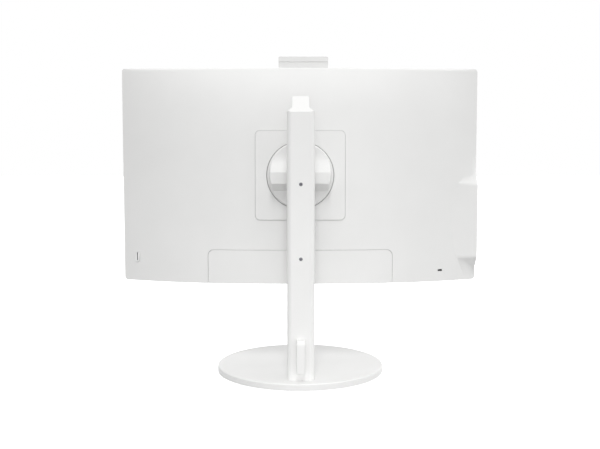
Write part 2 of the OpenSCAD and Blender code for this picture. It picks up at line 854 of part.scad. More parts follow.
module column_screws() color("dimgray")
  for (z = [screw_lo_z, screw_hi_z]) {
    difference() {
      y_rod(0, z, screw_head_r, screw_seat_y, screw_seat_y + screw_head_t);
      y_rod(0, z, screw_socket_r, screw_seat_y + screw_head_t / 2, screw_seat_y + screw_head_t + past);
    }
    y_rod(0, z, screw_r, channel_back_y - channel_t, screw_seat_y);
  }

module cable_hook() color("whitesmoke") difference() {
  reach = hook_gap + hook_t;
  x_prism(-hook_w / 2, hook_w / 2) {
    translate([column_y, hook_low_z]) square([reach - hook_bend, hook_top_z - hook_low_z]);
    translate([column_y, hook_low_z]) square([reach, hook_top_z - hook_bend - hook_low_z]);
    translate([column_y + reach - hook_bend, hook_top_z - hook_bend]) circle(hook_bend);
  }
  span_box([-hook_w, hook_w], [column_y - past, column_y + hook_gap],
    [hook_low_z - past, hook_top_z - hook_root]);
}

module lift_rails() color("silver")
  for (x = [-rod_x, rod_x]) z_rod(x, rod_y, rod_r, foot_top_z, rail_top_z);

module spring_axle() color("silver") x_rod(drum_y, drum_z, axle_r, -channel_half_w, channel_half_w);

module lift_spring() color("lightsteelblue")
  span_box([-strip_w / 2, strip_w / 2], [strip_y, strip_y + strip_t], [tilt_z + carriage_half_h, drum_z]);

module spring_drum() color("ivory") difference() {
  x_rod(drum_y, drum_z, drum_r, drum_end_gap - channel_in, channel_in - drum_end_gap);
  x_rod(drum_y, drum_z, axle_r + run, -channel_in, channel_in);
}

// Pieces that ride up and down

module carriage() color("silver") difference() {
  span_box([-carriage_half_w, carriage_half_w], [carriage_y0, carriage_y1],
    [tilt_z - carriage_half_h, tilt_z + carriage_half_h]);
  for (x = [-rod_x, rod_x]) {
    z_rod(x, rod_y, rod_r + 2 * clear, tilt_z - carriage_half_h - past, tilt_z + carriage_half_h + past);
    z_rod(x, rod_y, bush_r, tilt_z - carriage_half_h - past, tilt_z - carriage_half_h + bush_l);
    z_rod(x, rod_y, bush_r, tilt_z + carriage_half_h - bush_l, tilt_z + carriage_half_h + past);
  }
}

module carriage_bushes() color("ivory")
  for (x = [-rod_x, rod_x], z = [tilt_z - carriage_half_h, tilt_z + carriage_half_h - bush_l])
    translate([x, rod_y, 0]) ring(rod_r + run, bush_r, z, z + bush_l);

module hinge_arm() color("whitesmoke") difference() {
  union() {
    span_box([-arm_half_w, arm_half_w], [tilt_y, carriage_y0],
      [tilt_z - arm_half_h, tilt_z + arm_half_h]);
    x_rod(tilt_y, tilt_z, arm_half_h, -arm_half_w, arm_half_w);
  }
  x_rod(tilt_y, tilt_z, tilt_pin_r + run, -arm_half_w - past, arm_half_w + past);
}

// Pieces of the tilting head

module head_plate() color("silver") difference() {
  union() {
    y_rod(0, mid_z, disc_r - head_wall - slip, plate_y, plate_y + plate_t);
    y_rod(0, mid_z, pivot_r, retainer_y - past, plate_y + plate_t);
    for (x = [-cheek_out, cheek_in]) {
      span_box([x, x + cheek_t], [plate_y, tilt_y], [tilt_z - cheek_r, tilt_z + cheek_r]);
      x_rod(tilt_y, tilt_z, cheek_r, x, x + cheek_t);
    }
  }
  x_rod(tilt_y, tilt_z, tilt_pin_r, -cheek_out - past, cheek_out + past);
  y_rod(0, mid_z, pivot_bore_r, retainer_y - 2 * past, plate_y + plate_t + past);
}

// The hollow of the hinge bar, and its outside, whose upper foot runs into the head in a curve
function bar_hollow() =
  let (
    foot_in = 1.3 * head_wall,
    face_in = 0.4 * head_wall,
    y0 = disc_y - head_wall - past,
    y1 = bar_y - head_wall
  ) [
    [y0, tilt_z + bar_top - foot_in], [disc_y, tilt_z + bar_top - foot_in],
    [y1, tilt_z + face_top - face_in], [y1, tilt_z - face_bottom + face_in],
    [disc_y, tilt_z - bar_bottom + foot_in], [y0, tilt_z - bar_bottom + foot_in]
  ];
function bar_back() =
  let (
    y0 = disc_y - head_wall / 2,
    turn = 90 - atan2(bar_top - face_top, tilt_reach + bar_reach),
    foot_z = tilt_z + bar_top + bar_foot_r * tan(turn / 2)
  ) concat(
    [[y0, foot_z]],
    [for (k = [0 : bar_foot_steps]) let (a = 180 + turn * k / bar_foot_steps)
      [disc_y + bar_foot_r * (1 + cos(a)), foot_z + bar_foot_r * sin(a)]],
    [[bar_y, tilt_z + face_top], [bar_y, tilt_z - face_bottom],
      [disc_y, tilt_z - bar_bottom], [y0, tilt_z - bar_bottom]]
  );

module head_cover() color("whitesmoke") {
  rim_r = disc_r - head_rim;
  slot_up = arm_half_h / cos(tilt_back) + bar_reach * tan(tilt_back) + slot_gap;
  slot_down = arm_half_h / cos(tilt_forward) + bar_reach * tan(tilt_forward) + slot_gap;
  difference() {
    union() {
      y_rod(0, mid_z, disc_r, plate_y, disc_y - head_rim);
      translate([0, disc_y - head_rim, mid_z]) rotate([-90, 0, 0])
        cylinder(r1 = disc_r, r2 = rim_r, h = head_rim);
      intersection() {
        x_prism(-disc_r, disc_r) polygon(bar_back());
        translate([0, disc_y - head_wall, mid_z]) rotate([-90, 0, 0])
          cylinder(r1 = rim_r, r2 = rim_r - bar_taper, h = bar_y - disc_y + head_wall + past);
      }
    }
    y_rod(0, mid_z, disc_r - head_wall, plate_y - past, disc_y - head_wall);
    intersection() {
      x_prism(-disc_r, disc_r) polygon(bar_hollow());
      y_rod(0, mid_z, rim_r - bar_taper - head_wall, plate_y, bar_y);
    }
    span_box([-arm_half_w - slot_gap, arm_half_w + slot_gap], [plate_y + plate_t, bar_y + past],
      [tilt_z - slot_down, tilt_z + slot_up]);
  }
}

module tilt_pin() color("silver")
  x_rod(tilt_y, tilt_z, tilt_pin_r, -cheek_out - nut_t - past, cheek_out + nut_t + past);

module tilt_washers() color("ivory")
  for (x = [-cheek_in, cheek_in - washer_t]) difference() {
    x_rod(tilt_y, tilt_z, cheek_r, x, x + washer_t);
    x_rod(tilt_y, tilt_z, tilt_pin_r, x - past, x + washer_t + past);
  }

module tilt_nuts() color("gray")
  for (x = [-cheek_out - nut_t, cheek_out]) difference() {
    translate([x, tilt_y, tilt_z]) rotate([0, 90, 0]) cylinder(r = nut_r, h = nut_t, $fn = 6);
    x_rod(tilt_y, tilt_z, tilt_pin_r, x - past, x + nut_t + past);
  }

module pivot_washer() color("ivory") difference() {
  y_rod(0, mid_z, pivot_washer_r, plate_y - pivot_washer_t, plate_y);
  y_rod(0, mid_z, pivot_r, plate_y - pivot_washer_t - past, plate_y + past);
}

module pivot_retainer() color("gray") difference() {
  y_rod(0, mid_z, pivot_r + retainer_w, retainer_y, retainer_y + retainer_t);
  y_rod(0, mid_z, pivot_r, retainer_y - past, retainer_y + retainer_t + past);
}

// Covers of the display

module vent_row(count, x, y, z) for (k = [0 : count - 1])
  translate([x + (k - (count - 1) / 2) * vent_pitch - vent_w / 2, y[0], z - wall - past])
    cube([vent_w, y[1] - y[0], wall + 2 * past]);

module rear_cover() color("whitesmoke") difference() {
  union() {
    back_block(0, split_y);
    pod(0, split_y + flush);
  }
  back_block(wall, split_y - past);
  pod(pod_wall, split_y - past);
  // The square opening for the mount, and the port bay
  y_prism(inside_y + bay_setback, pad_y + wall) translate([0, mid_z])
    rounded_rect(pad_w + 2 * seam, pad_h + 2 * seam, pad_r + seam);
  y_prism(inside_y + bay_setback, edge_y + bulge_bottom + past) port_outline(seam);
  // The camera's slot, the drive's slot, the power button's hole and the lock slot
  span_box([camera_x - camera_w / 2 - clear, camera_x + camera_w / 2 + clear],
    [camera_y0 - clear, camera_y1 + clear], [top_z - wall - past, top_z + past]);
  span_box([-half_w - past, -half_w + wall + past], drive_slot_y,
    [drive_z - drive_slot_half, drive_z + drive_slot_half]);
  y_prism(power_y - 3 * wall, power_y + 3 * wall) translate([power_x, power_z])
    pill(power_w + 2 * clear, power_l + 2 * clear);
  y_prism(lock_plate_y, lock_plate_y + 5 * wall) translate([lock_x, lock_z])
    square([lock_l, lock_h], center = true);
  // Warm air leaves at the top, and cool air and sound pass at the bottom
  for (x = [-fan_x, fan_x]) vent_row(top_vents, x, vent_y, top_z);
  for (x = [-speaker_x, speaker_x]) vent_row(low_vents, x, vent_y, display_z + wall);
}

module port_cover() color("whitesmoke") intersection() {
  back_sheet([-port_w / 2 - past, port_w / 2 + past], [display_z, display_z + port_h + past], 14, 3, 0, wall);
  y_prism(inside_y, edge_y + bulge_bottom + past) port_outline(0);
}

module mount_trim() color("whitesmoke") difference() {
  union() {
    intersection() {
      back_sheet([-pad_w / 2 - past, pad_w / 2 + past],
        [mid_z - pad_h / 2 - past, mid_z + pad_h / 2 + past], 8, 6, pad_rise, wall);
      y_prism(bracket_y, pad_y + 2 * wall) translate([0, mid_z]) rounded_rect(pad_w, pad_h, pad_r);
    }
    for (x = [-1, 1], z = [-1, 1])
      let (px = x * (pad_w / 2 - post_inset), pz = mid_z + z * (pad_h / 2 - post_inset))
      y_rod(px, pz, post_r, bracket_y + bracket_t, back_y(px, pz) - wall / 2);
  }
  y_rod(0, mid_z, disc_r + ring_gap, bracket_y, disc_y);
}

module vesa_bracket() color("silver") difference() {
  z = [mid_z - bracket_h / 2, mid_z + bracket_h / 2];
  union() {
    span_box([-bracket_w / 2, bracket_w / 2], [bracket_y, bracket_y + bracket_t], z);
    for (x = [-bracket_w / 2, bracket_w / 2 - bracket_t])
      span_box([x, x + bracket_t], [inside_y, bracket_y], z);
    for (x = [-bracket_w / 2 - bracket_foot, bracket_w / 2])
      span_box([x, x + bracket_foot], [inside_y, inside_y + bracket_t], z);
  }
  y_rod(0, mid_z, pivot_r + run, bracket_y - past, bracket_y + bracket_t + past);
  for (x = [-1, 1], k = [-1, 1])
    y_rod(x * bolt_spacing / 2, mid_z + k * bolt_spacing / 2, bolt_r,
      bracket_y - past, bracket_y + bracket_t + past);
  for (p = bracket_screw_places)
    y_rod(p[0], p[1], bracket_screw_r, inside_y - past, inside_y + bracket_t + past);
}

module bracket_screws() color("dimgray")
  for (p = bracket_screw_places) {
    y_rod(p[0], p[1], bracket_screw_r, chassis_y, inside_y + bracket_t);
    y_rod(p[0], p[1], 2 * bracket_screw_r, inside_y + bracket_t,
      inside_y + bracket_t + bracket_screw_head_t);
  }

// Pieces of the screen

module front_bezel() color("whitesmoke") difference() {
  y_prism(front_y, split_y) display_outline(0);
  y_prism(panel_y, split_y + past) display_outline(bezel_wall);
  span_box([side_bezel - half_w, half_w - side_bezel], [front_y - past, panel_y + past],
    [display_z + chin, top_z - side_bezel]);
}

module screen_glass() color("black") span_box([-panel_half_w, panel_half_w], [panel_y, guide_y], panel_z);

module light_guide() color("azure")
  span_box([tray_rim - panel_half_w, panel_half_w - tray_rim], [guide_y, guide_y + guide_t],
    [panel_z[0] + tray_rim, panel_z[1] - tray_rim]);

module panel_tray() color("gray") difference() {
  span_box([-panel_half_w, panel_half_w], [guide_y, chassis_y], panel_z);
  span_box([tray_sheet - panel_half_w, panel_half_w - tray_sheet], [guide_y - past, guide_y + guide_t],
    [panel_z[0] + tray_sheet, panel_z[1] - tray_sheet]);
}

module chassis() color("silver") difference() {
  union() {
    span_box([chassis_inset - half_w, half_w - chassis_inset], [chassis_y, inside_y],
      [display_z + chassis_inset, top_z - chassis_inset]);
    for (p = board_post_places) y_rod(p[0], p[1], 2 * post_screw_r, inside_y, board_y);
  }
  for (p = board_post_places) y_rod(p[0], p[1], post_screw_r, chassis_y - past, board_y + past);
  for (p = bracket_screw_places) y_rod(p[0], p[1], bracket_screw_r, chassis_y - past, inside_y + past);
}

// Electronics inside the display

module motherboard() color("darkgreen") difference() {
  union() {
    span_box([-board_half_w, board_half_w], [board_y, board_back_y], [board_z, board_z + board_h]);
    span_box([-cpu_half_w, cpu_half_w], [board_back_y, cold_y], [cpu_z - cpu_half_w, cpu_z + cpu_half_w]);
    for (k = [-2 : 2]) let (z = cpu_z + k * coil_pitch)
      span_box(coil_x, [board_back_y, board_back_y + coil_t], [z - coil_w / 2, z + coil_w / 2]);
  }
  for (p = board_post_places) y_rod(p[0], p[1], post_screw_r, board_y - past, board_back_y + past);
}

module cpu_heatsink() color("silver") {
  difference() {
    span_box([-cold_w / 2, cold_w / 2], [cold_y, pipe_y], [cpu_z - cold_w / 2, cpu_z + cold_w / 2]);
    z_rod(0, pipe_y, pipe_r, cpu_z - cold_w, cpu_z + cold_w);
  }
  for (k = [-fin_side : fin_side]) difference() {
    x = fan_x + k * fin_pitch;
    span_box([x, x + fin_t], fin_y, [fin_z, fin_z + fin_h]);
    x_rod(pipe_y, pipe_z, pipe_r, x - past, x + fin_t + past);
  }
}

module heat_pipe() color("peru") {
  z_rod(0, pipe_y, pipe_r, cpu_z - cold_w / 2, pipe_z - pipe_bend_r);
  translate([pipe_bend_r, pipe_y, pipe_z - pipe_bend_r]) rotate([90, 0, 0]) rotate([0, 0, 90])
    rotate_extrude(angle = 90) translate([pipe_bend_r, 0]) circle(pipe_r);
  x_rod(pipe_y, pipe_z, pipe_r, pipe_bend_r, fan_x + (fin_side + 0.5) * fin_pitch);
}

module fan_housing() color("dimgray") difference() {
  x = [fan_x - fan_w / 2, fan_x + fan_w / 2];
  union() {
    difference() {
      span_box(x, [inside_y, inside_y + fan_t], [fan_z, fan_z + fan_h]);
      y_rod(fan_x, fan_axis_z, rotor_r + 3, inside_y + fan_wall, inside_y + fan_t - fan_wall);
      span_box([x[0] + 6, x[1] - 7], [inside_y + fan_wall, inside_y + fan_t - fan_wall],
        [fan_axis_z, fan_z + fan_h + past]);
      y_rod(fan_x, fan_axis_z, rotor_r * 0.7, inside_y + fan_t - 2 * fan_wall, inside_y + fan_t + past);
    }
    y_rod(fan_x, fan_axis_z, fan_shaft_r, inside_y, inside_y + fan_t - fan_wall);
  }
}

module fan_rotor() color("black") difference() {
  y = [inside_y + fan_wall + clear, inside_y + fan_t - fan_wall - clear];
  union() {
    y_rod(fan_x, fan_axis_z, rotor_hub_r, y[0], y[1]);
    for (k = [1 : blade_count]) translate([fan_x, 0, fan_axis_z]) rotate([0, 360 / blade_count * k, 0])
      span_box([rotor_hub_r - past, rotor_r], [y[0], y[1] - past], [-blade_t / 2, blade_t / 2]);
  }
  y_rod(fan_x, fan_axis_z, fan_shaft_r + run, y[0] - past, y[1] + past);
}

module memory_modules() color("seagreen")
  for (z = [for (rise = memory_rises) board_z + rise]) {
    card_y = board_back_y + card_lift;
    pitch = (memory_x[1] - memory_x[0]) / 4;
    span_box(memory_x, [board_back_y, board_back_y + memory_slot_t], [z, z + memory_slot_h]);
    span_box(memory_x, [card_y, card_y + card_t], [z + memory_slot_h, z + memory_h]);
    for (k = [0 : 3]) let (x = memory_x[0] + k * pitch)
      span_box([x + pitch / 6, x + pitch * 5 / 6], [card_y + card_t, card_y + card_t + chip_t],
        [z + memory_h * 0.4, z + memory_h * 0.85]);
  }

module ssd_module() color("darkslategray") {
  card_y = board_back_y + card_lift;
  middle = (ssd_x[0] + ssd_x[1]) / 2;
  chip_half = (ssd_x[1] - ssd_x[0]) * 0.36;
  span_box(ssd_x, [board_back_y, card_y + card_t + chip_t], [ssd_z, ssd_z + ssd_slot_h]);
  span_box(ssd_x, [card_y, card_y + card_t], [ssd_z + ssd_slot_h, ssd_z + ssd_l]);
  for (share = [0.2, 0.58]) let (z = ssd_z + share * ssd_l)
    span_box([middle - chip_half, middle + chip_half], [card_y + card_t, card_y + card_t + chip_t],
      [z, z + chip_half * 2]);
  y_rod(middle, ssd_z + ssd_l - ssd_post_r, ssd_post_r, board_back_y, card_y);
}

module io_sockets() color("silver") {
  for (s = sockets) difference() {
    span_box([s[0] - s[1] / 2, s[0] + s[1] / 2], [board_back_y, board_back_y + s[2]],
      [mouth_z, mouth_z + socket_depth]);
    for (m = [0 : s[3] - 1]) let (y = board_back_y + s[2] * (m + 0.5) / s[3])
      span_box([s[0] - s[4] / 2, s[0] + s[4] / 2], [y - s[5] / 2, y + s[5] / 2],
        [mouth_z - past, mouth_z + mouth_depth]);
  }
  difference() {
    span_box([audio_x - audio_w / 2, audio_x + audio_w / 2], [board_back_y, 2 * audio_y - board_back_y],
      [mouth_z, mouth_z + socket_depth]);
    z_rod(audio_x, audio_y, audio_r, mouth_z - past, mouth_z + audio_depth);
  }
}

module dc_jack() color("black") difference() {
  span_box([jack_x - jack_w / 2, jack_x + jack_w / 2], [board_back_y, board_back_y + jack_h],
    [mouth_z, mouth_z + socket_depth]);
  difference() {
    z_rod(jack_x, jack_y, jack_r, mouth_z - past, mouth_z + mouth_depth);
    z_rod(jack_x, jack_y, jack_pin_r, mouth_z + past, mouth_z + socket_depth);
  }
}

module io_shield() color("whitesmoke") difference() {
  z = [shield_z, shield_z + shield_t];
  span_box([-board_half_w, board_half_w], [inside_y, board_back_y + shield_d], z);
  for (s = sockets) span_box([s[0] - s[1] / 2 - slip, s[0] + s[1] / 2 + slip],
    [board_back_y - slip, board_back_y + s[2] + slip], [z[0] - past, z[1] + past]);
  span_box([audio_x - audio_w / 2 - slip, audio_x + audio_w / 2 + slip],
    [board_back_y - slip, 2 * audio_y - board_back_y + slip], [z[0] - past, z[1] + past]);
  span_box([jack_x - jack_w / 2 - slip, jack_x + jack_w / 2 + slip],
    [board_back_y - slip, board_back_y + jack_h + slip], [z[0] - past, z[1] + past]);
}

module speakers() color("black")
  for (x = [-speaker_x, speaker_x]) difference() {
    span_box([x - speaker_half_w, x + speaker_half_w], [inside_y, speaker_y1],
      [speaker_z, speaker_z + speaker_h]);
    for (k = [-1, 1]) z_rod(x + k * speaker_half_w / 2, (inside_y + speaker_y1) / 2, speaker_cone_r,
      speaker_z - past, speaker_z + speaker_cone_depth);
  }

module power_switch() color("darkgreen") {
  translate([power_x, 0, power_z]) {
    span_box([-switch_board[0], switch_board[0]] / 2, [inside_y, inside_y + board_t],
      [-switch_board[1], switch_board[1]] / 2);
    span_box([-switch_half_w, switch_half_w], [inside_y + board_t, power_flange_y - power_travel - clear],
      [-switch_half_w, switch_half_w]);
  }
}

module power_button() color("whitesmoke") {
  y_prism(power_flange_y + power_flange_t, power_y + power_raise) translate([power_x, power_z])
    pill(power_w, power_l);
  y_prism(power_flange_y, power_flange_y + power_flange_t) translate([power_x, power_z])
    pill(power_w + 2 * power_flange_w, power_l + 2 * power_flange_w);
}

module lock_plate() color("gray") translate([lock_x, 0, lock_z]) difference() {
  z = [-lock_plate_half[1], lock_plate_half[1]];
  union() {
    span_box([-lock_plate_half[0], lock_plate_half[0]], [lock_plate_y - lock_plate_t, lock_plate_y], z);
    for (x = [-lock_plate_half[0], lock_plate_half[0] - lock_leg_t])
      span_box([x, x + lock_leg_t], [inside_y, lock_plate_y], [0, lock_plate_half[1]]);
  }
  span_box([-lock_l, lock_l] / 2, [lock_plate_y - lock_plate_t - past, lock_plate_y + past],
    [-lock_h, lock_h] / 2);
}

// The camera

module webcam_guide() color("dimgray") {
  side = camera_w / 2 + clear;
  low_z = camera_low_z - camera_up - past;
  for (x = [camera_x - side - guide_wall, camera_x + side])
    span_box([x, x + guide_wall], [inside_y, camera_y1], [low_z - guide_wall, top_z - wall - clear]);
  span_box([camera_x - side - clear, camera_x + side + clear], [inside_y, camera_y1],
    [low_z - guide_wall, low_z]);
}

module webcam_housing() color("whitesmoke") difference() {
  y_prism(camera_y0, camera_y1) translate([camera_x, top_z + (camera_up - camera_in) / 2])
    rounded_rect(camera_w, camera_up + camera_in, camera_edge_r);
  y_rod(camera_x, top_z + camera_up / 2, lens_r, camera_y0 - past, camera_y0 + lens_depth);
  span_box([camera_x - camera_w, camera_x + camera_w], [camera_y1 - groove_depth, camera_y1 + past],
    groove_z);
}

module webcam_lens() color("black")
  y_rod(camera_x, top_z + camera_up / 2, lens_r, camera_y0 + lens_sunk, camera_y0 + lens_depth);

// The disc drive

module drive_case() color("silver") {
  z = [drive_z - drive_l / 2, drive_z + drive_l / 2];
  difference() {
    span_box([drive_x0, drive_x0 + drive_d], [drive_y0, drive_y1], z);
    span_box([drive_x0 - past, drive_x0 + drive_d - case_t], [drive_y0 + case_t, drive_y1 - case_t],
      [z[0] + case_t, z[1] - case_t]);
  }
  for (x = [drive_x0 + 3 * drive_foot_inset, drive_x0 + drive_d - 3 * drive_foot_inset - drive_foot[0]])
    for (low_z = [z[0] + drive_foot_inset, z[1] - drive_foot_inset - drive_foot[1]])
      span_box([x, x + drive_foot[0]], [inside_y, drive_y0], [low_z, low_z + drive_foot[1]]);
}

module disc_tray() color("dimgray") difference() {
  span_box([drive_x0, drive_x0 + tray_d], [tray_y0, tray_y1], [drive_z - tray_half, drive_z + tray_half]);
  y_rod(disc_x, drive_z, disc_recess_r, tray_y1 - recess_depth, tray_y1 + past);
  y_rod(disc_x, drive_z, spindle_r + run, tray_y0 - past, tray_y1 + past);
  span_box([drive_x0 - past, drive_x0 + eject_tail + eject_travel + 2 * clear],
    [tray_y0 - past, tray_y1 + past],
    [eject_z - eject_w / 2 - past, eject_z + eject_w / 2 + past]);
}

module tray_bezel() color("whitesmoke") difference() {
  span_box([-half_w, drive_x0], [drive_y0, drive_y1], [drive_z - drive_l / 2, drive_z + drive_l / 2]);
  span_box([-half_w - past, drive_x0 + past],
    [eject_y - eject_h / 2 - clear / 2, eject_y + eject_h / 2 + clear / 2],
    [eject_z - eject_w / 2 - clear / 2, eject_z + eject_w / 2 + clear / 2]);
}

module disc_spindle() color("gray") y_rod(disc_x, drive_z, spindle_r, tray_y0, tray_y1 - slip);

module eject_button() color("lightgray")
  span_box([eject_sunk - half_w, drive_x0 + eject_tail], [eject_y - eject_h / 2, eject_y + eject_h / 2],
    [eject_z - eject_w / 2, eject_z + eject_w / 2]);

turntable_plate();
base_feet();
swivel_pin();
swivel_clip();
swivel_washer();
base_weight();
base_cover();
column_foot();
column_bolts();
column_frame();
column_rear_shell();
column_front_shell();
column_screws();
cable_hook();
lift_rails();
spring_axle();
lift_spring();
spring_drum();
carriage();
carriage_bushes();
hinge_arm();
head_plate();
head_cover();
tilt_pin();
tilt_washers();
tilt_nuts();
pivot_washer();
pivot_retainer();
rear_cover();
port_cover();
mount_trim();
vesa_bracket();
bracket_screws();
front_bezel();
screen_glass();
light_guide();
panel_tray();
chassis();
motherboard();
cpu_heatsink();
heat_pipe();
fan_housing();
memory_modules();
ssd_module();
io_sockets();
dc_jack();
io_shield();
speakers();
drive_case();
webcam_guide();
power_switch();
lock_plate();
webcam_housing();
webcam_lens();
disc_tray();
tray_bezel();
disc_spindle();
eject_button();
power_button();
fan_rotor();
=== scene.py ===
# %% [markdown]
# An all-in-one computer from behind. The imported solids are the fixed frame: they give every size
# and place, and each joint's body. This lesson dresses them. It softens the moulded edges, gives each
# real material its own finish, and adds the small things that a bare solid lacks. Then it sets up
# a white studio around the computer.

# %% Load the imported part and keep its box
import json
import math
import bpy
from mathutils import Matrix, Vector

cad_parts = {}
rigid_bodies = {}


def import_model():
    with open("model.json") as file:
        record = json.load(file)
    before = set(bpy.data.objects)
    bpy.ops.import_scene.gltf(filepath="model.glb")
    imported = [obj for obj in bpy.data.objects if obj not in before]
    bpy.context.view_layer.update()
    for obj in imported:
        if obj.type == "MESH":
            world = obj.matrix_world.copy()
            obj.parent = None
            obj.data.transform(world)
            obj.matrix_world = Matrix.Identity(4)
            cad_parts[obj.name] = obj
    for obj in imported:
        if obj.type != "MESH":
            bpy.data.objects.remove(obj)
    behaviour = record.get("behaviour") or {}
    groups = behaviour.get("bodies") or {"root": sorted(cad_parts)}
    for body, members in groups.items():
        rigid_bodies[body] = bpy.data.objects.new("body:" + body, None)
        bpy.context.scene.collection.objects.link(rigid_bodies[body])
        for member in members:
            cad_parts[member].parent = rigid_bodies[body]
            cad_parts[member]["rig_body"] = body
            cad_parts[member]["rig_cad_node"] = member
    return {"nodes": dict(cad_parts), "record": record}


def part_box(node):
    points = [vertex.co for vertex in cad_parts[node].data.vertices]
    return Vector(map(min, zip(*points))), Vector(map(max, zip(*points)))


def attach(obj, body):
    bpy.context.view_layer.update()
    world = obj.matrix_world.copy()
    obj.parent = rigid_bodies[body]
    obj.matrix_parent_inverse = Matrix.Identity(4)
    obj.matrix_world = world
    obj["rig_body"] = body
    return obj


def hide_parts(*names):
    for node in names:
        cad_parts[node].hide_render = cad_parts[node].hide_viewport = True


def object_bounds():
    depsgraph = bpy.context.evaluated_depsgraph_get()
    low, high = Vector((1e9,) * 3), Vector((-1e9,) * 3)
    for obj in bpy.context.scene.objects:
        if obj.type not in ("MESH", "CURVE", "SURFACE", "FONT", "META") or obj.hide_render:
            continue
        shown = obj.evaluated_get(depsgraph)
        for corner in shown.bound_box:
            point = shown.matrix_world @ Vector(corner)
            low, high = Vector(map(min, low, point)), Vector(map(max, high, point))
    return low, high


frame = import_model()
cad_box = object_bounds()
nodes = frame["nodes"]
record = frame["record"]
MM = 0.001

# %% [markdown]
# The camera comes first, because everything is judged through it. A product shot like this one is
# taken from about the height of the screen's middle, a little over a metre away, with a normal lens.
# Its height, distance and lens come from the outline of the display and of the base, so they aren't
# set by eye.

# %% Camera
CAMERA_PLACE = (0.010, 1.175, 0.3011)
CAMERA_PITCH = 4.012
CAMERA_TURN = 179.528
LENS_MM = 47.40
SENSOR_MM = 36.0

bpy.ops.object.camera_add(
    location=CAMERA_PLACE,
    rotation=(math.radians(90 - CAMERA_PITCH), 0, math.radians(CAMERA_TURN)),
)
camera = bpy.context.active_object
camera.data.sensor_fit = "HORIZONTAL"
camera.data.sensor_width = SENSOR_MM
camera.data.lens = LENS_MM
bpy.context.scene.camera = camera
print("camera", camera.location[:], "lens", camera.data.lens)

# %% [markdown]
# Colours are picked as sRGB hex values, as a paint chart gives them. Shaders work in linear light,
# so one function turns the first into the second. A second small function adds any shader node with
# its settings and its links, which keeps each material below readable from top to bottom.

# %% Colour and node helpers
def linear(hex_code):
    """The linear colour of an sRGB hex value."""
    parts = [int(hex_code[i:i + 2], 16) / 255 for i in (1, 3, 5)]
    curve = [p / 12.92 if p <= 0.04045 else ((p + 0.055) / 1.055) ** 2.4 for p in parts]
    return (*curve, 1.0)


def add(tree, kind, settings=None, links=None):
    """A new shader node, with its sockets or properties set and its inputs linked."""
    made = tree.nodes.new(kind)
    for name, value in (settings or {}).items():
        if isinstance(name, int) or name in made.inputs:
            made.inputs[name].default_value = value
        else:
            setattr(made, name, value)
    for name, source in (links or {}).items():
        tree.links.new(source, made.inputs[name])
    return made


def start(name):
    """A new material with an empty tree, and its object coordinates."""
    made = bpy.data.materials.new(name)
    made.use_nodes = True
    tree = made.node_tree
    tree.nodes.clear()
    return made, tree, add(tree, "ShaderNodeTexCoord").outputs["Object"]


def per_mm(size):
    """The scale of a texture whose features are this many millimetres wide."""
    return 1 / (size * MM)


finishes = {}
print("mid grey in linear light", linear("#808080"))

# %% [markdown]
# Most of what shows is ABS, injection moulded in a tool whose walls were spark eroded. That leaves a
# fine, even grain, so the white looks matte and soft, and very slightly uneven where the plastic
# flowed. The real grain is about 0.3 mm. It is drawn at 1.4 mm, because anything finer is lost
# between the render's pixels. The camera's housing gets a slightly greyer copy of the same white, as
# painted shade for its upright face, which catches less light. Black ABS and ivory acetal are moulded
# the same way, with other colours and a smoother skin.

# %% Moulded plastics
FLOW_MM = 70
GRAIN_GLOSS = 0.07
GRAIN_STRENGTH = 0.35
ABS_IOR = 1.53
ACETAL_IOR = 1.48


def moulded_plastic(name, dark, light, grain_mm, rough, depth_mm, ior):
    made, tree, place = start(name)
    flow = add(tree, "ShaderNodeTexNoise", {"Scale": per_mm(FLOW_MM), "Detail": 3.0}, {"Vector": place})
    grain = add(tree, "ShaderNodeTexNoise", {"Scale": per_mm(grain_mm), "Detail": 2.0}, {"Vector": place})
    colour = add(
        tree, "ShaderNodeMixRGB",
        {"Color1": linear(dark), "Color2": linear(light)}, {"Fac": flow.outputs["Fac"]},
    )
    gloss = add(
        tree, "ShaderNodeMapRange",
        {"To Min": rough - GRAIN_GLOSS, "To Max": rough + GRAIN_GLOSS}, {"Value": grain.outputs["Fac"]},
    )
    bump = add(
        tree, "ShaderNodeBump",
        {"Strength": GRAIN_STRENGTH, "Distance": depth_mm * MM}, {"Height": grain.outputs["Fac"]},
    )
    skin = add(tree, "ShaderNodeBsdfPrincipled", {"IOR": ior}, {
        "Base Color": colour.outputs["Color"],
        "Roughness": gloss.outputs["Result"],
        "Normal": bump.outputs["Normal"],
    })
    add(tree, "ShaderNodeOutputMaterial", links={"Surface": skin.outputs["BSDF"]})
    return made


# Each finish: its name, dark and light colour, grain in mm, roughness, depth of grain in mm, and IOR
plastics = {
    "white_plastic": ("moulded_white_abs", "#E5E5E4", "#ECECEB", 1.4, 0.52, 0.10, ABS_IOR),
    # A greyer copy of the white: painted shade on the camera's housing.
    "shaded_white_plastic": ("moulded_white_abs_painted_shade", "#E0E0DF", "#E6E6E5", 1.4, 0.48, 0.10, ABS_IOR),
    "black_plastic": ("moulded_black_abs", "#131315", "#1E1E20", 1.2, 0.46, 0.08, ABS_IOR),
    "acetal": ("moulded_ivory_acetal", "#E0D9C2", "#ECE6D2", 2.0, 0.34, 0.05, ACETAL_IOR),
}
for slot, recipe in plastics.items():
    finishes[slot] = moulded_plastic(*recipe)
print("plastics", sorted(plastics))

# %% [markdown]
# The turntable plate, the hinge arm and the socket shield are steel or die-cast metal under a white
# powder coat. Powder melts into a film with shallow ripples a few millimetres wide, known as orange
# peel, and it is a little glossier than the plastic beside it.

# %% Powder-coated metal
PEEL_MM = 2.5
PEEL_DEPTH_MM = 0.12
FILM_MM = 50


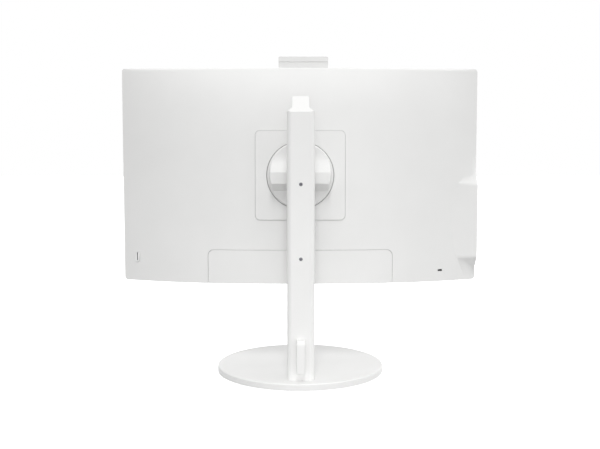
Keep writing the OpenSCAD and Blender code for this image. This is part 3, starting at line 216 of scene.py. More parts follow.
def powder_coat(name, dark, light):
    made, tree, place = start(name)
    peel = add(tree, "ShaderNodeTexNoise", {"Scale": per_mm(PEEL_MM), "Detail": 1.0}, {"Vector": place})
    cloud = add(tree, "ShaderNodeTexNoise", {"Scale": per_mm(FILM_MM), "Detail": 2.0}, {"Vector": place})
    colour = add(
        tree, "ShaderNodeMixRGB",
        {"Color1": linear(dark), "Color2": linear(light)}, {"Fac": cloud.outputs["Fac"]},
    )
    gloss = add(
        tree, "ShaderNodeMapRange", {"To Min": 0.32, "To Max": 0.44}, {"Value": cloud.outputs["Fac"]},
    )
    bump = add(
        tree, "ShaderNodeBump",
        {"Strength": 0.3, "Distance": PEEL_DEPTH_MM * MM}, {"Height": peel.outputs["Fac"]},
    )
    skin = add(tree, "ShaderNodeBsdfPrincipled", {"IOR": 1.5}, {
        "Base Color": colour.outputs["Color"],
        "Roughness": gloss.outputs["Result"],
        "Normal": bump.outputs["Normal"],
    })
    add(tree, "ShaderNodeOutputMaterial", links={"Surface": skin.outputs["BSDF"]})
    return made


finishes["white_metal"] = powder_coat("powder_coated_white_steel", "#E2E2E1", "#EAEAE9")
print("coated", finishes["white_metal"].name)

# %% [markdown]
# Bare metals: zinc-plated steel sheet for the channel, chassis and bracket, with the soft lines that
# rolling leaves; extruded aluminium for the cooler and the carriage, with die lines along its length;
# drawn copper for the heat pipe, which browns a little in the air; nickel over steel for the sockets,
# with gold on their contacts; and black oxide on the two screws in the column. One recipe serves them
# all: noise that is stretched along the direction of working, in gloss and in a shallow bump.

# %% Worked metals
TARNISH_MM = 18
LINE_DEPTH_MM = 0.06
LINE_GLOSS = (-0.08, 0.1)


def worked_metal(name, dark, light, line_mm, stretch, rough):
    made, tree, place = start(name)
    along = add(tree, "ShaderNodeMapping", {"Scale": stretch}, {"Vector": place})
    lines = add(
        tree, "ShaderNodeTexNoise", {"Scale": per_mm(line_mm), "Detail": 4.0},
        {"Vector": along.outputs["Vector"]},
    )
    cloud = add(tree, "ShaderNodeTexNoise", {"Scale": per_mm(TARNISH_MM), "Detail": 2.0}, {"Vector": place})
    colour = add(
        tree, "ShaderNodeMixRGB",
        {"Color1": linear(dark), "Color2": linear(light)}, {"Fac": cloud.outputs["Fac"]},
    )
    gloss = add(
        tree, "ShaderNodeMapRange",
        {"To Min": rough + LINE_GLOSS[0], "To Max": rough + LINE_GLOSS[1]}, {"Value": lines.outputs["Fac"]},
    )
    bump = add(
        tree, "ShaderNodeBump",
        {"Strength": 0.2, "Distance": LINE_DEPTH_MM * MM}, {"Height": lines.outputs["Fac"]},
    )
    skin = add(tree, "ShaderNodeBsdfPrincipled", {"Metallic": 1.0}, {
        "Base Color": colour.outputs["Color"],
        "Roughness": gloss.outputs["Result"],
        "Normal": bump.outputs["Normal"],
    })
    add(tree, "ShaderNodeOutputMaterial", links={"Surface": skin.outputs["BSDF"]})
    return made


# Each finish: its name, dark and light colour, width of its lines in mm, their stretch, and roughness
metals = {
    "steel": ("zinc_plated_steel", "#96999D", "#B8BBBE", 1.2, (0.08, 1, 1), 0.36),
    "aluminium": ("extruded_aluminium", "#B9BBBD", "#D0D1D3", 1.0, (1, 1, 0.05), 0.32),
    "copper": ("drawn_copper", "#A05A38", "#C68058", 1.0, (0.1, 1, 0.1), 0.28),
    "nickel": ("nickel_plated_steel", "#B5B1A8", "#C9C6BF", 1.0, (1, 1, 0.1), 0.26),
    "gold": ("gold_flashed_bronze", "#C79A3C", "#E0B85E", 0.6, (1, 1, 0.1), 0.24),
    "black_oxide": ("black_oxide_steel", "#55555A", "#68686C", 0.6, (1, 1, 1), 0.42),
}
for slot, recipe in metals.items():
    finishes[slot] = worked_metal(*recipe)
print("metals", sorted(metals))

# %% [markdown]
# The feet are pressed from black nitrile rubber: dull, with a dusty bloom in patches and fine pores.
# A grey one is painted shade: it makes the cord that darkens the gap round the mount's head.
# Rubber hardly shines, so its roughness is high and even, and only its colour and its pores vary.

# %% Pressed rubber
BLOOM_MM = 9
PORE_MM = 0.9
PORE_DEPTH_MM = 0.1


def pressed_rubber(name, dark, light):
    made, tree, place = start(name)
    bloom = add(tree, "ShaderNodeTexNoise", {"Scale": per_mm(BLOOM_MM), "Detail": 5.0}, {"Vector": place})
    pores = add(tree, "ShaderNodeTexVoronoi", {"Scale": per_mm(PORE_MM)}, {"Vector": place})
    colour = add(
        tree, "ShaderNodeMixRGB",
        {"Color1": linear(dark), "Color2": linear(light)}, {"Fac": bloom.outputs["Fac"]},
    )
    bump = add(
        tree, "ShaderNodeBump",
        {"Strength": 0.3, "Distance": PORE_DEPTH_MM * MM}, {"Height": pores.outputs["Distance"]},
    )
    skin = add(tree, "ShaderNodeBsdfPrincipled", {"IOR": 1.52, "Roughness": 0.85}, {
        "Base Color": colour.outputs["Color"], "Normal": bump.outputs["Normal"],
    })
    add(tree, "ShaderNodeOutputMaterial", links={"Surface": skin.outputs["BSDF"]})
    return made


finishes["rubber"] = pressed_rubber("pressed_black_nitrile", "#181818", "#2E2E2D")
# The grey rubber paints shade: it is only used for the cord in the mount's gap.
finishes["grey_rubber"] = pressed_rubber("gap_shade_grey_nitrile", "#606060", "#747473")
print("rubbers", finishes["rubber"].name, finishes["grey_rubber"].name)

# %% [markdown]
# The circuit boards are glass fibre under green solder mask, with copper tracks that show as lighter
# lines through it. A brick pattern stands for the tracks, turned to lie in the plane of the board.
# The light guide is clear acrylic with rows of printed white dots, which are cells of an even grid.

# %% Circuit board and acrylic
TRACK_TILE_MM = 14
TRACK_DEPTH_MM = 0.05
DOT_MM = 2.2


def solder_mask(name):
    made, tree, place = start(name)
    turned = add(tree, "ShaderNodeMapping", {"Rotation": (math.radians(90), 0, 0)}, {"Vector": place})
    tracks = add(tree, "ShaderNodeTexBrick", {
        "Scale": per_mm(TRACK_TILE_MM), "Mortar Size": 0.035, "Brick Width": 0.9, "Row Height": 0.12,
        "Color1": linear("#0E3B22"), "Color2": linear("#103F26"), "Mortar": linear("#2C6B3E"),
    }, {"Vector": turned.outputs["Vector"]})
    bump = add(
        tree, "ShaderNodeBump",
        {"Strength": 0.2, "Distance": TRACK_DEPTH_MM * MM}, {"Height": tracks.outputs["Fac"]},
    )
    skin = add(tree, "ShaderNodeBsdfPrincipled", {"IOR": 1.5, "Roughness": 0.3}, {
        "Base Color": tracks.outputs["Color"], "Normal": bump.outputs["Normal"],
    })
    add(tree, "ShaderNodeOutputMaterial", links={"Surface": skin.outputs["BSDF"]})
    return made


def dotted_acrylic(name):
    made, tree, place = start(name)
    dots = add(tree, "ShaderNodeTexVoronoi", {"Scale": per_mm(DOT_MM), "Randomness": 0.0}, {"Vector": place})
    colour = add(
        tree, "ShaderNodeMixRGB",
        {"Color1": linear("#F6F9FA"), "Color2": linear("#D6E2E7")}, {"Fac": dots.outputs["Distance"]},
    )
    skin = add(
        tree, "ShaderNodeBsdfPrincipled",
        {"IOR": 1.49, "Roughness": 0.12}, {"Base Color": colour.outputs["Color"]},
    )
    add(tree, "ShaderNodeOutputMaterial", links={"Surface": skin.outputs["BSDF"]})
    return made


finishes["circuit_board"] = solder_mask("green_solder_mask")
finishes["acrylic"] = dotted_acrylic("printed_acrylic")
print("board and light guide", finishes["circuit_board"].name, finishes["acrylic"].name)

# %% [markdown]
# The screen is switched off. Its outer film is etched, and coated so that it mirrors the room only
# half as much as bare plastic would. Round its edge a black mask hides the panel's wiring, and inside
# that the panel is a shade lighter. The mask is wherever a point lies further from the middle than
# the lit area does, across or up.

# %% Screen film
MASK_MM = 4.0
ETCH_MM = 1.0


def etched_screen(name, low, high):
    made, tree, place = start(name)
    inner = (high - low) / 2 - Vector((MASK_MM, 0, MASK_MM)) * MM
    centred = add(tree, "ShaderNodeMapping", {"Location": -(low + high) / 2}, {"Vector": place})
    folded = add(tree, "ShaderNodeVectorMath", {"operation": "ABSOLUTE"}, {0: centred.outputs["Vector"]})
    past = add(
        tree, "ShaderNodeVectorMath", {"operation": "SUBTRACT", 1: inner}, {0: folded.outputs["Vector"]},
    )
    sides = add(tree, "ShaderNodeSeparateXYZ", links={"Vector": past.outputs["Vector"]})
    widest = add(
        tree, "ShaderNodeMath", {"operation": "MAXIMUM"}, {0: sides.outputs["X"], 1: sides.outputs["Z"]},
    )
    masked = add(
        tree, "ShaderNodeMath", {"operation": "GREATER_THAN", 1: 0.0}, {0: widest.outputs["Value"]},
    )
    colour = add(
        tree, "ShaderNodeMixRGB",
        {"Color1": linear("#17181C"), "Color2": linear("#050506")}, {"Fac": masked.outputs["Value"]},
    )
    etch = add(tree, "ShaderNodeTexNoise", {"Scale": per_mm(ETCH_MM), "Detail": 2.0}, {"Vector": place})
    gloss = add(
        tree, "ShaderNodeMapRange", {"To Min": 0.16, "To Max": 0.26}, {"Value": etch.outputs["Fac"]},
    )
    skin = add(tree, "ShaderNodeBsdfPrincipled", {"IOR": 1.5, "Specular IOR Level": 0.25}, {
        "Base Color": colour.outputs["Color"], "Roughness": gloss.outputs["Result"],
    })
    add(tree, "ShaderNodeOutputMaterial", links={"Surface": skin.outputs["BSDF"]})
    return made


screen_low, screen_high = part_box("screen_glass")
finishes["glass"] = etched_screen("etched_screen_film", screen_low, screen_high)
print("screen", screen_low[:], screen_high[:])

# %% [markdown]
# The camera's window is dark glass, polished, with a coating that tints it violet in places. Small
# lights are clear plastic over a diode. Switched off, they look milky, with a faint tint. The dark
# strip on the power button is painted shade: it paints the dark line of shade down its middle. All
# three are one smooth shader whose colour drifts between two close shades.

# %% Camera glass and lamp lenses
def clear_lens(name, dark, light, cloud_mm, detail, ior, rough):
    made, tree, place = start(name)
    cloud = add(tree, "ShaderNodeTexNoise", {"Scale": per_mm(cloud_mm), "Detail": detail}, {"Vector": place})
    colour = add(
        tree, "ShaderNodeMixRGB",
        {"Color1": linear(dark), "Color2": linear(light)}, {"Fac": cloud.outputs["Fac"]},
    )
    skin = add(
        tree, "ShaderNodeBsdfPrincipled",
        {"IOR": ior, "Roughness": rough}, {"Base Color": colour.outputs["Color"]},
    )
    add(tree, "ShaderNodeOutputMaterial", links={"Surface": skin.outputs["BSDF"]})
    return made


# Each finish: its name, dark and light colour, size of its clouds in mm, their detail, IOR and roughness
lenses = {
    "lens": ("coated_lens_glass", "#060510", "#120A1C", 3.0, 1.0, 1.6, 0.05),
    "milky": ("milky_diode_lens", "#A9BDB6", "#C3D3CD", 0.8, 2.0, 1.49, 0.22),
    # A dark finish that paints shade on the power button, as a strip down its middle.
    "painted_shade": ("dark_painted_shade_lens", "#4A4C50", "#5E6064", 0.8, 2.0, 1.49, 0.22),
}
for slot, recipe in lenses.items():
    finishes[slot] = clear_lens(*recipe)
print("lenses", sorted(lenses), "of", len(finishes), "finishes")

# %% [markdown]
# Every solid of the frame gets the finish of its material slot, or one that suits it better. The
# pieces inside keep their shape: they only show when a cover is off, or through a vent.

# %% Finish every solid
slot_of = {row["node"]: row["material_slot"] for row in record["subparts"]}
# The camera's housing takes the greyer white, which paints shade on it.
own_finish = {
    "column_screws": "black_oxide", "io_sockets": "nickel", "webcam_lens": "lens",
    "webcam_housing": "shaded_white_plastic",
}
for name, solid in nodes.items():
    solid.data.materials.clear()
    solid.data.materials.append(finishes[own_finish.get(name, slot_of[name])])
print("finished solids", len(slot_of))

# %% [markdown]
# A moulded edge is never a knife edge: the tool gives it a small radius, and that radius catches the
# light. The frame's solids have sharp edges and flat facets, so each outer cover gets a copy that is
# welded, freed of needless triangles, bevelled and smoothed. The copy stands for the solid and rides
# on the same body. These helpers do that for any cover, and later for new pieces.

# %% Helpers for soft edges
WELD = 0.002 * MM
FLAT = math.radians(0.2)
SHARP = math.radians(32)
EDGE_STEPS = 2

body_of = {node: body for body, members in record["behaviour"]["bodies"].items() for node in members}


def pick_only(piece):
    """Selects one object and makes it active."""
    bpy.ops.object.select_all(action="DESELECT")
    piece.select_set(True)
    bpy.context.view_layer.objects.active = piece


def welded_copy(name):
    """A copy of a solid whose triangles are joined into whole faces."""
    pick_only(nodes[name])
    bpy.ops.object.duplicate()
    piece = bpy.context.active_object
    piece.name = name + "_soft"
    piece.parent = None
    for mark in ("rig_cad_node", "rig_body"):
        del piece[mark]
    bpy.ops.object.mode_set(mode="EDIT")
    bpy.ops.mesh.select_all(action="SELECT")
    bpy.ops.mesh.remove_doubles(threshold=WELD)
    bpy.ops.mesh.dissolve_limited(angle_limit=FLAT)
    bpy.ops.object.mode_set(mode="OBJECT")
    return piece


def round_edges(piece, edge_mm, sharp=SHARP):
    """Bevels every sharp edge of a piece and smooths its curves."""
    pick_only(piece)
    bevel = piece.modifiers.new("edge", "BEVEL")
    bevel.width = edge_mm * MM
    bevel.segments = EDGE_STEPS
    bevel.limit_method = "ANGLE"
    bevel.angle_limit = sharp
    bevel.use_clamp_overlap = True
    bpy.ops.object.modifier_apply(modifier="edge")
    bpy.ops.object.shade_smooth_by_angle(angle=sharp)
    weigh = piece.modifiers.new("even", "WEIGHTED_NORMAL")
    weigh.keep_sharp = True
    bpy.ops.object.modifier_apply(modifier="even")


def stand_for(piece, name):
    """Lets a copy stand for its solid on the same body, and hides the solid."""
    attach(piece, body_of[name])
    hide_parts(name)


print("bodies that carry pieces", sorted(set(body_of.values())))

# %% [markdown]
# Each cover has its own radius: about half a millimetre on the outer covers, and less where a seam has
# to stay narrow or where a piece is small or thin. The rear cover is smoothed over a wider angle than
# the rest, because the drive's pod runs into its back through a shallow hollow and not a crease.

# %% Soften the covers
HOLLOW = math.radians(60)

edge_radii_mm = {
    "rear_cover": 0.5, "front_bezel": 0.6, "port_cover": 0.3, "mount_trim": 0.4,
    "column_rear_shell": 0.5, "column_front_shell": 0.5, "cable_hook": 0.6, "base_cover": 0.3,
    "turntable_plate": 0.3, "base_feet": 0.3, "hinge_arm": 0.6,
    "power_button": 0.5, "eject_button": 0.3, "disc_tray": 0.3, "column_screws": 0.15,
}
for name, edge_mm in edge_radii_mm.items():
    piece = welded_copy(name)
    round_edges(piece, edge_mm, HOLLOW if name == "rear_cover" else SHARP)
    stand_for(piece, name)
    print("softened", name, len(piece.data.polygons), "faces")

# %% [markdown]
# The mount's round head has a wider, rolled rim, which shines at the top and darkens at the bottom. The
# edge loop of its rear face is picked by its distance from the axle, and bevelled before the rest.

# %% Roll the head's rim
RIM_MM = 2.6
RIM_STEPS = 5
RIM_REACH_MM = 0.3
HEAD_EDGE_MM = 0.4


def open_with(piece, kind, test):
    """Opens a piece in edit mode, with only the edges or faces selected that pass a test."""
    bpy.ops.object.mode_set(mode="EDIT")
    bpy.ops.mesh.select_mode(type=kind)
    bpy.ops.mesh.select_all(action="DESELECT")
    bpy.ops.object.mode_set(mode="OBJECT")
    for item in piece.data.edges if kind == "EDGE" else piece.data.polygons:
        item.select = test(item)
    bpy.ops.object.mode_set(mode="EDIT")


head_low, head_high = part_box("head_cover")
axle = (head_low + head_high) / 2
head = welded_copy("head_cover")
reach = {v.index: math.hypot(v.co.x - axle.x, v.co.z - axle.z) for v in head.data.vertices}
outer = max(reach.values()) - RIM_REACH_MM * MM
far_out = [v for v in head.data.vertices if reach[v.index] > outer]
rear_y = max(v.co.y for v in far_out) - RIM_REACH_MM * MM
on_rim = {v.index for v in far_out if v.co.y > rear_y}
open_with(head, "EDGE", lambda edge: set(edge.vertices) <= on_rim)
bpy.ops.mesh.bevel(offset=RIM_MM * MM, segments=RIM_STEPS, affect="EDGES")
bpy.ops.object.mode_set(mode="OBJECT")
round_edges(head, HEAD_EDGE_MM)
stand_for(head, "head_cover")
print("rim", len(on_rim), "corners", len(head.data.polygons), "faces")

# %% [markdown]
# The gap between the head and the trim is a dark circle. A grey rubber cord lies in it, a little below
# the surface, as painted shade that makes the gap darker. It starts as a torus, and is stretched so that
# it fills the gap's depth without touching the head, which turns in it.

# %% Grey cord in the mount's gap, as painted shade
RING_GAP_MM = 0.6
CORD_RADIUS_MM = 0.22
CORD_STRETCH = 2.0
CORD_SUNK_MM = 0.9
ROUND_STEPS = 128

trim_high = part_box("mount_trim")[1]
gap_middle = (head_high.x - head_low.x) / 2 + RING_GAP_MM / 2 * MM
bpy.ops.object.select_all(action="DESELECT")
bpy.ops.mesh.primitive_torus_add(
    major_radius=gap_middle, minor_radius=CORD_RADIUS_MM * MM, major_segments=ROUND_STEPS, minor_segments=10,
    location=(axle.x, trim_high.y - CORD_SUNK_MM * MM, axle.z), rotation=(math.radians(90), 0, 0),
)
cord = bpy.context.active_object
cord.name = "gap_shade_cord"
bpy.ops.object.transform_apply(location=False, rotation=True, scale=True)
bpy.ops.object.mode_set(mode="EDIT")
bpy.ops.mesh.select_all(action="SELECT")
bpy.ops.transform.resize(value=(1, CORD_STRETCH, 1))
bpy.ops.object.mode_set(mode="OBJECT")
bpy.ops.object.transform_apply(location=True, rotation=True, scale=True)
bpy.ops.object.shade_smooth()
# The grey cord paints shade into the gap between the head and the trim.
cord.data.materials.append(finishes["grey_rubber"])
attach(cord, "display")
print("cord", gap_middle / MM, "mm from the axle")

# %% [markdown]
# A thin skirt under the base's rim hides the edge of the turntable, so that only a fine line shows above
# the table. It starts as a short cylinder. Both ends are inset, their middles are deleted, and the two
# inner loops are bridged into a wall. It turns with the base and clears the turntable.

# %% Skirt of the base
SKIRT_MM = 1.2
SKIRT_LIFT_MM = 1.1
SKIRT_INSET_MM = 0.02
SKIRT_EDGE_MM = 0.2
FACING = 0.9

cover_low, cover_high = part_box("base_cover")
skirt_high = cover_low.z - cad_box[0][2] - SKIRT_LIFT_MM * MM
skirt_middle = (cover_low + cover_high) / 2
skirt_middle.z = cover_low.z - skirt_high / 2
bpy.ops.object.select_all(action="DESELECT")
bpy.ops.mesh.primitive_cylinder_add(
    vertices=ROUND_STEPS, radius=(cover_high.x - cover_low.x) / 2 - SKIRT_INSET_MM * MM, depth=skirt_high,
    location=skirt_middle,
)
skirt = bpy.context.active_object
skirt.name = "base_skirt"
bpy.ops.object.transform_apply(location=True, rotation=True, scale=True)
open_with(skirt, "FACE", lambda face: abs(face.normal.z) > FACING)
bpy.ops.mesh.inset(thickness=SKIRT_MM * MM)
bpy.ops.mesh.delete(type="FACE")
bpy.ops.mesh.select_mode(type="EDGE")
bpy.ops.mesh.select_non_manifold(extend=False)
bpy.ops.mesh.bridge_edge_loops()
bpy.ops.mesh.select_all(action="SELECT")
bpy.ops.mesh.normals_make_consistent(inside=False)
bpy.ops.object.mode_set(mode="OBJECT")
round_edges(skirt, SKIRT_EDGE_MM)
skirt.data.materials.append(finishes["white_plastic"])
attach(skirt, "stand")
print("skirt", skirt_high / MM, "mm high,", len(skirt.data.polygons), "faces")

# %% [markdown]
# The camera's housing has two sound holes beside its eye, and the drive's front has a pinhole that
# frees a stuck tray. They are drilled with a Boolean before the edges are softened, so that their
# rims are soft too.

# %% Drill the small holes
TO_FRONT = (math.radians(90), 0, 0)
TO_SIDE = (0, math.radians(90), 0)
HOLE_RADIUS_MM = 0.6
HOLE_DEPTH_MM = 1.0
SOUND_HOLE_ASIDE_MM = 16.0
PINHOLE_ABOVE_MM = 12.0
HOUSING_EDGE_MM = 0.5
PLATE_EDGE_MM = 0.3


def drill(piece, middle, turn):
    """Cuts a small round hole in a piece."""
    bpy.ops.object.select_all(action="DESELECT")
    bpy.ops.mesh.primitive_cylinder_add(
        vertices=24, radius=HOLE_RADIUS_MM * MM, depth=2 * HOLE_DEPTH_MM * MM, location=middle, rotation=turn,
    )
    bit = bpy.context.active_object
    pick_only(piece)
    cut = piece.modifiers.new("hole", "BOOLEAN")
    cut.operation = "DIFFERENCE"
    cut.solver = "EXACT"
    cut.object = bit
    bpy.ops.object.modifier_apply(modifier="hole")
    bpy.data.objects.remove(bit, do_unlink=True)


eye_low, eye_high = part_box("webcam_lens")
eye = (eye_low + eye_high) / 2
house_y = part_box("webcam_housing")[0].y
housing = welded_copy("webcam_housing")
for side in (-1, 1):
    drill(housing, (eye.x + side * SOUND_HOLE_ASIDE_MM * MM, house_y, eye.z), TO_FRONT)
round_edges(housing, HOUSING_EDGE_MM)
stand_for(housing, "webcam_housing")

tray_low, tray_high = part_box("tray_bezel")
plate_y = (tray_low.y + tray_high.y) / 2
eject_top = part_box("eject_button")[1].z
plate = welded_copy("tray_bezel")
drill(plate, (tray_low.x, plate_y, eject_top + PINHOLE_ABOVE_MM * MM), TO_SIDE)
round_edges(plate, PLATE_EDGE_MM)
stand_for(plate, "tray_bezel")
print("drilled housing", len(housing.data.polygons), "and tray front", len(plate.data.polygons))

# %% [markdown]
# The camera's eye is a stepped black ring with a small domed lens in it, and a diode sits beside it.
# Each starts as a short cylinder. Its front face is then inset and moved, step by step, as a turner
# would cut a stepped disc. All stay inside the window of the housing.

# %% The camera's eye
FRONT = Vector((0, -1, 0))
DISC_MM = 0.2
RING_RADIUS_MM = 2.6
RING_STEPS_MM = [(0.3, 0.05), (0.5, 0.0), (0.3, -0.1), (0.2, -0.03)]
DOME_RADIUS_MM = 1.3
DOME_STEPS_MM = [(0.25, 0.04), (0.3, 0.02), (0.3, 0.01)]
DIODE_RADIUS_MM = 0.8
DIODE_STEPS_MM = [(0.2, 0.0)]
DIODE_SUNK_MM = 0.1
DIODE_ASIDE_MM = 8.0


def stepped_disc(name, middle, turn, axis, radius_mm, steps_mm):
    """A short cylinder whose face on one side is inset and moved in steps of (inset, rise)."""
    bpy.ops.object.select_all(action="DESELECT")
    bpy.ops.mesh.primitive_cylinder_add(
        vertices=48, radius=radius_mm * MM, depth=DISC_MM * MM, location=middle, rotation=turn,
    )
    piece = bpy.context.active_object
    piece.name = name
    bpy.ops.object.transform_apply(location=True, rotation=True, scale=True)
    open_with(piece, "FACE", lambda face: face.normal.dot(axis) > FACING)
    for inset_mm, rise_mm in steps_mm:
        bpy.ops.mesh.inset(thickness=inset_mm * MM)
        bpy.ops.transform.translate(value=axis * (rise_mm * MM))
    bpy.ops.object.mode_set(mode="OBJECT")
    bpy.ops.object.shade_smooth_by_angle(angle=SHARP)
    return piece


def dress(piece, body, finish):
    """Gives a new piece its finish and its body."""
    piece.data.materials.clear()
    piece.data.materials.append(finishes[finish])
    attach(piece, body)


window_front = Vector((eye.x, eye_low.y, eye.z))
ring = stepped_disc("eye_ring", window_front, TO_FRONT, FRONT, RING_RADIUS_MM, RING_STEPS_MM)
dress(ring, "webcam", "black_plastic")
dome = stepped_disc("eye_dome", window_front, TO_FRONT, FRONT, DOME_RADIUS_MM, DOME_STEPS_MM)
dress(dome, "webcam", "lens")
diode_place = Vector((eye.x + DIODE_ASIDE_MM * MM, house_y + DIODE_SUNK_MM * MM, eye.z))
diode = stepped_disc("eye_diode", diode_place, TO_FRONT, FRONT, DIODE_RADIUS_MM, DIODE_STEPS_MM)
dress(diode, "webcam", "milky")
print("eye", eye[:])

# %% [markdown]
# Inside each flat socket there is a tongue of black plastic with gilded contacts along it, and the
# network socket has a row of sprung wires. The frame's openings say where the plugs go, so each tongue
# takes its place and size from its opening. One contact is modelled and copied along the tongue.

# %% Helpers for bars and rows
def bar(name, low, high, edge_mm):
    """A bar between two corners, with its edges bevelled."""
    bpy.ops.object.select_all(action="DESELECT")
    bpy.ops.mesh.primitive_cube_add(size=1, location=(low + high) / 2)
    piece = bpy.context.active_object
    piece.name = name
    piece.scale = high - low
    bpy.ops.object.transform_apply(location=True, rotation=True, scale=True)
    bpy.ops.object.mode_set(mode="EDIT")
    bpy.ops.mesh.select_all(action="SELECT")
    bpy.ops.mesh.bevel(offset=edge_mm * MM, segments=EDGE_STEPS, affect="EDGES")
    bpy.ops.object.mode_set(mode="OBJECT")
    bpy.ops.object.shade_smooth_by_angle(angle=SHARP)
    return piece


def row_of(piece, count, step):
    """Copies a piece along a step, and joins the copies into one mesh."""
    copies = [piece]
    for k in range(1, count):
        pick_only(piece)
        bpy.ops.object.duplicate()
        bpy.ops.transform.translate(value=step * k)
        copies.append(bpy.context.active_object)
    pick_only(piece)
    for copy in copies:
        copy.select_set(True)
    bpy.ops.object.join()
    bpy.ops.object.transform_apply(location=True, rotation=True, scale=True)
    return piece


sockets = [mouth for mouth in record["physics"]["openings"] if "socket" in mouth["name"]]
print("sockets", [mouth["name"] for mouth in sockets])

# %% [markdown]
# A tongue leaves room on both sides for the plug's shell, and lies a little in front of the socket's
# middle. Its contacts are as wide as the gaps between them, and stand a hair proud of it.

# %% Socket tongues and contacts
LIP_MM = 1.0
TONGUE_SIDE = 0.12
TONGUE_DEPTH = (0.34, 0.60)
TONGUE_EDGE_MM = 0.15
NETWORK_PINS = 8
FLAT_PINS = 4
PIN_SETBACK_MM = 0.8
PIN_SUNK_MM = 0.05
PIN_PROUD_MM = 0.15
PIN_EDGE_MM = 0.04

lip_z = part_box("io_shield")[0].z + LIP_MM * MM
for mouth in sockets:
    low, high = (Vector(corner) for corner in mouth["box_m"])
    size = high - low
    pins = NETWORK_PINS if "network" in mouth["name"] else FLAT_PINS
    tongue_low = Vector((low.x + TONGUE_SIDE * size.x, low.y + TONGUE_DEPTH[0] * size.y, lip_z))
    tongue_high = Vector((high.x - TONGUE_SIDE * size.x, low.y + TONGUE_DEPTH[1] * size.y, high.z))
    tongue = bar(mouth["name"] + "_tongue", tongue_low, tongue_high, TONGUE_EDGE_MM)
    dress(tongue, "display", "black_plastic")
    pitch = (tongue_high.x - tongue_low.x) / (pins + 0.5)
    pin_y = tongue_high.y
    pin_low = Vector((tongue_low.x + pitch / 2, pin_y - PIN_SUNK_MM * MM, lip_z + PIN_SETBACK_MM * MM))
    pin_high = Vector((pin_low.x + pitch / 2, pin_y + PIN_PROUD_MM * MM, high.z))
    pin = bar(mouth["name"] + "_contacts", pin_low, pin_high, PIN_EDGE_MM)
    dress(row_of(pin, pins, Vector((pitch, 0, 0))), "display", "gold")
    print("tongue", mouth["name"], pins, "contacts", [round(v / MM, 1) for v in size])

# %% [markdown]
# A diode on the drive's front shows that it is reading. A dark strip down the power button's middle
# is painted shade, for the dark line of shade there. Both are sunk almost flush.

# %% Drive lamp, and painted shade on the power button
READING_LAMP_ABOVE_MM = 6.0
POWER_SHADE_MM = (1.5, 0.3, 12.0)
POWER_SHADE_RISE_MM = 1.0
POWER_SHADE_EDGE_MM = 0.12
OUT_OF_DRIVE = Vector((-1, 0, 0))

lamp_place = Vector((tray_low.x + DIODE_SUNK_MM * MM, plate_y, eject_top + READING_LAMP_ABOVE_MM * MM))
reading = stepped_disc("reading_lamp", lamp_place, TO_SIDE, OUT_OF_DRIVE, DIODE_RADIUS_MM, DIODE_STEPS_MM)
dress(reading, "drive_tray", "milky")

button_low, button_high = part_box("power_button")
# A dark strip down the power button's middle, as painted shade.
shade_strip_middle = (button_low + button_high) / 2 + Vector((0, 0, POWER_SHADE_RISE_MM)) * MM
shade_strip_middle.y = button_high.y
shade_strip_half = Vector(POWER_SHADE_MM) * MM / 2
power_shade_strip = bar("power_shade_strip", shade_strip_middle - shade_strip_half, shade_strip_middle + shade_strip_half, POWER_SHADE_EDGE_MM)
dress(power_shade_strip, "power_button", "painted_shade")
print("lamps", lamp_place[:], shade_strip_middle[:])

# %% [markdown]
# On the spindle, three sprung noses hold a disc by the rim of its hole. One is modelled as a small
# rounded block that stands out from the hub, and is turned round the hub for the other two.

# %% Spindle noses
NOSE_OUT_MM = 7.8
NOSE_IN_MM = 6.0
NOSE_HALF_MM = 1.1
NOSE_BELOW_MM = (1.4, 0.5)
NOSE_EDGE_MM = 0.3
NOSES = 3
HUB_EDGE_MM = 0.5

spindle_low, spindle_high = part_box("disc_spindle")
hub = (spindle_low + spindle_high) / 2
nose_low = hub + Vector((NOSE_IN_MM, 0, -NOSE_HALF_MM)) * MM
nose_high = hub + Vector((NOSE_OUT_MM, 0, NOSE_HALF_MM)) * MM
nose_low.y = spindle_high.y - NOSE_BELOW_MM[0] * MM
nose_high.y = spindle_high.y - NOSE_BELOW_MM[1] * MM
noses = [bar("spindle_nose", nose_low, nose_high, NOSE_EDGE_MM)]
for k in range(1, NOSES):
    pick_only(noses[0])
    bpy.ops.object.duplicate()
    bpy.ops.transform.rotate(value=math.radians(360 / NOSES * k), orient_axis="Y", center_override=hub)
    bpy.ops.object.transform_apply(location=True, rotation=True, scale=True)
    noses.append(bpy.context.active_object)
for nose in noses:
    dress(nose, "disc_spindle", "steel")
hub_cap = welded_copy("disc_spindle")
round_edges(hub_cap, HUB_EDGE_MM)
stand_for(hub_cap, "disc_spindle")
print("noses", len(noses), "round the hub at", hub[:])

# %% [markdown]
# The studio's floor is white and runs into a white room. It glows a little, so that it stays white in
# the picture. Diffuse rays don't see it, so it throws no soft light on the computer: the lamps and the
# dome below do that, and are easier to set.

# %% Studio floor
FLOOR_SIZE = 60.0
FLOOR_CLOUD_MM = 400
FLOOR_GLOW = 0.8

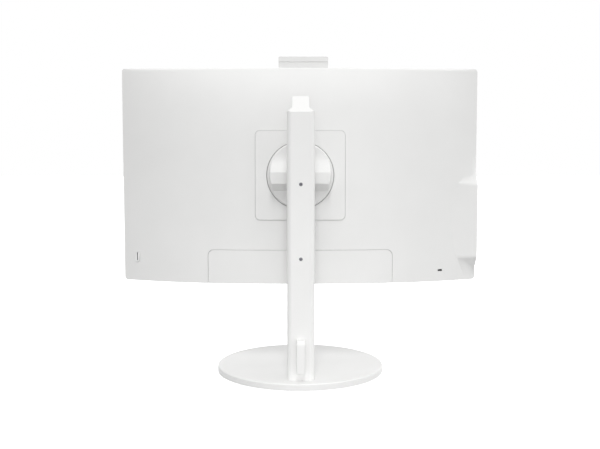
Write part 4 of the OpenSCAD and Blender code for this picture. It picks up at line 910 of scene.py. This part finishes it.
bpy.ops.object.select_all(action="DESELECT")
bpy.ops.mesh.primitive_plane_add(size=FLOOR_SIZE, location=(0, 0, cad_box[0][2]))
floor = bpy.context.active_object
floor.name = "studio_floor"
floor.visible_diffuse = False
paint, tree, place = start("white_studio_paint")
cloud = add(tree, "ShaderNodeTexNoise", {"Scale": per_mm(FLOOR_CLOUD_MM), "Detail": 2.0}, {"Vector": place})
colour = add(
    tree, "ShaderNodeMixRGB",
    {"Color1": linear("#FAFAFA"), "Color2": linear("#FDFDFD")}, {"Fac": cloud.outputs["Fac"]},
)
skin = add(
    tree, "ShaderNodeBsdfPrincipled",
    {"Roughness": 0.9, "Emission Color": linear("#FFFFFF"), "Emission Strength": FLOOR_GLOW},
    {"Base Color": colour.outputs["Color"]},
)
add(tree, "ShaderNodeOutputMaterial", links={"Surface": skin.outputs["BSDF"]})
floor.data.materials.append(paint)
print("floor at", cad_box[0][2])

# %% [markdown]
# A lamp high behind the camera lights what slopes upwards, a small one at the camera's height fills
# what faces it without a visible shadow, and a low strip stands for the light that a white floor
# throws back at the base.

# %% Studio lamps
DISPLAY_MIDDLE = Vector((0.0, 0.0, 0.29))
BASE_RIM = Vector((0.0, 0.12, 0.01))


def soft_lamp(name, place, aim, wide, high, watts):
    """A soft box that points at a spot."""
    bpy.ops.object.light_add(type="AREA", location=place)
    lamp = bpy.context.active_object
    lamp.name = name
    lamp.data.shape = "RECTANGLE"
    lamp.data.size = wide
    lamp.data.size_y = high
    lamp.data.energy = watts
    lamp.rotation_euler = (aim - Vector(place)).to_track_quat("-Z", "Y").to_euler()
    print("lamp", name, watts, "W")


soft_lamp("high_lamp", (0.02, 1.75, 2.75), DISPLAY_MIDDLE, wide=0.4, high=1.0, watts=28.5)
soft_lamp("floor_strip_lamp", (0.0, 0.62, 0.025), BASE_RIM, wide=0.9, high=0.04, watts=0.8)
soft_lamp("camera_lamp", (0.01, 2.0, 0.30), DISPLAY_MIDDLE, wide=0.5, high=0.5, watts=4.6)

# %% [markdown]
# Most of the light is a large soft dome, brighter from above, from the side that the screen faces and
# from the drive's side. Its strength is a level plus a slant, which is the dot product of the direction
# and one vector. The camera sees plain white instead, as in a picture that was cut out.

# %% Studio dome
DOME_LEVEL = 0.715
DOME_SLANT = (-0.17, -0.314, 0.352)
WHITE = linear("#FFFFFF")

room = bpy.data.worlds.new("white_room")
room.use_nodes = True
tree = room.node_tree
tree.nodes.clear()
rays = add(tree, "ShaderNodeLightPath")
way = add(tree, "ShaderNodeTexCoord")
slant = add(
    tree, "ShaderNodeVectorMath", {"operation": "DOT_PRODUCT", 1: DOME_SLANT}, {0: way.outputs["Generated"]},
)
dome_light = add(tree, "ShaderNodeMath", {"operation": "ADD", 1: DOME_LEVEL}, {0: slant.outputs["Value"]})
lit = add(tree, "ShaderNodeBackground", {"Color": WHITE}, {"Strength": dome_light.outputs["Value"]})
seen = add(tree, "ShaderNodeBackground", {"Color": WHITE, "Strength": 1.0})
either = add(tree, "ShaderNodeMixShader", links={
    "Fac": rays.outputs["Is Camera Ray"], 1: lit.outputs["Background"], 2: seen.outputs["Background"],
})
add(tree, "ShaderNodeOutputWorld", links={"Surface": either.outputs["Shader"]})
bpy.context.scene.world = room
bpy.context.scene.view_settings.view_transform = "Standard"
print("dome", DOME_LEVEL, "slant", DOME_SLANT)
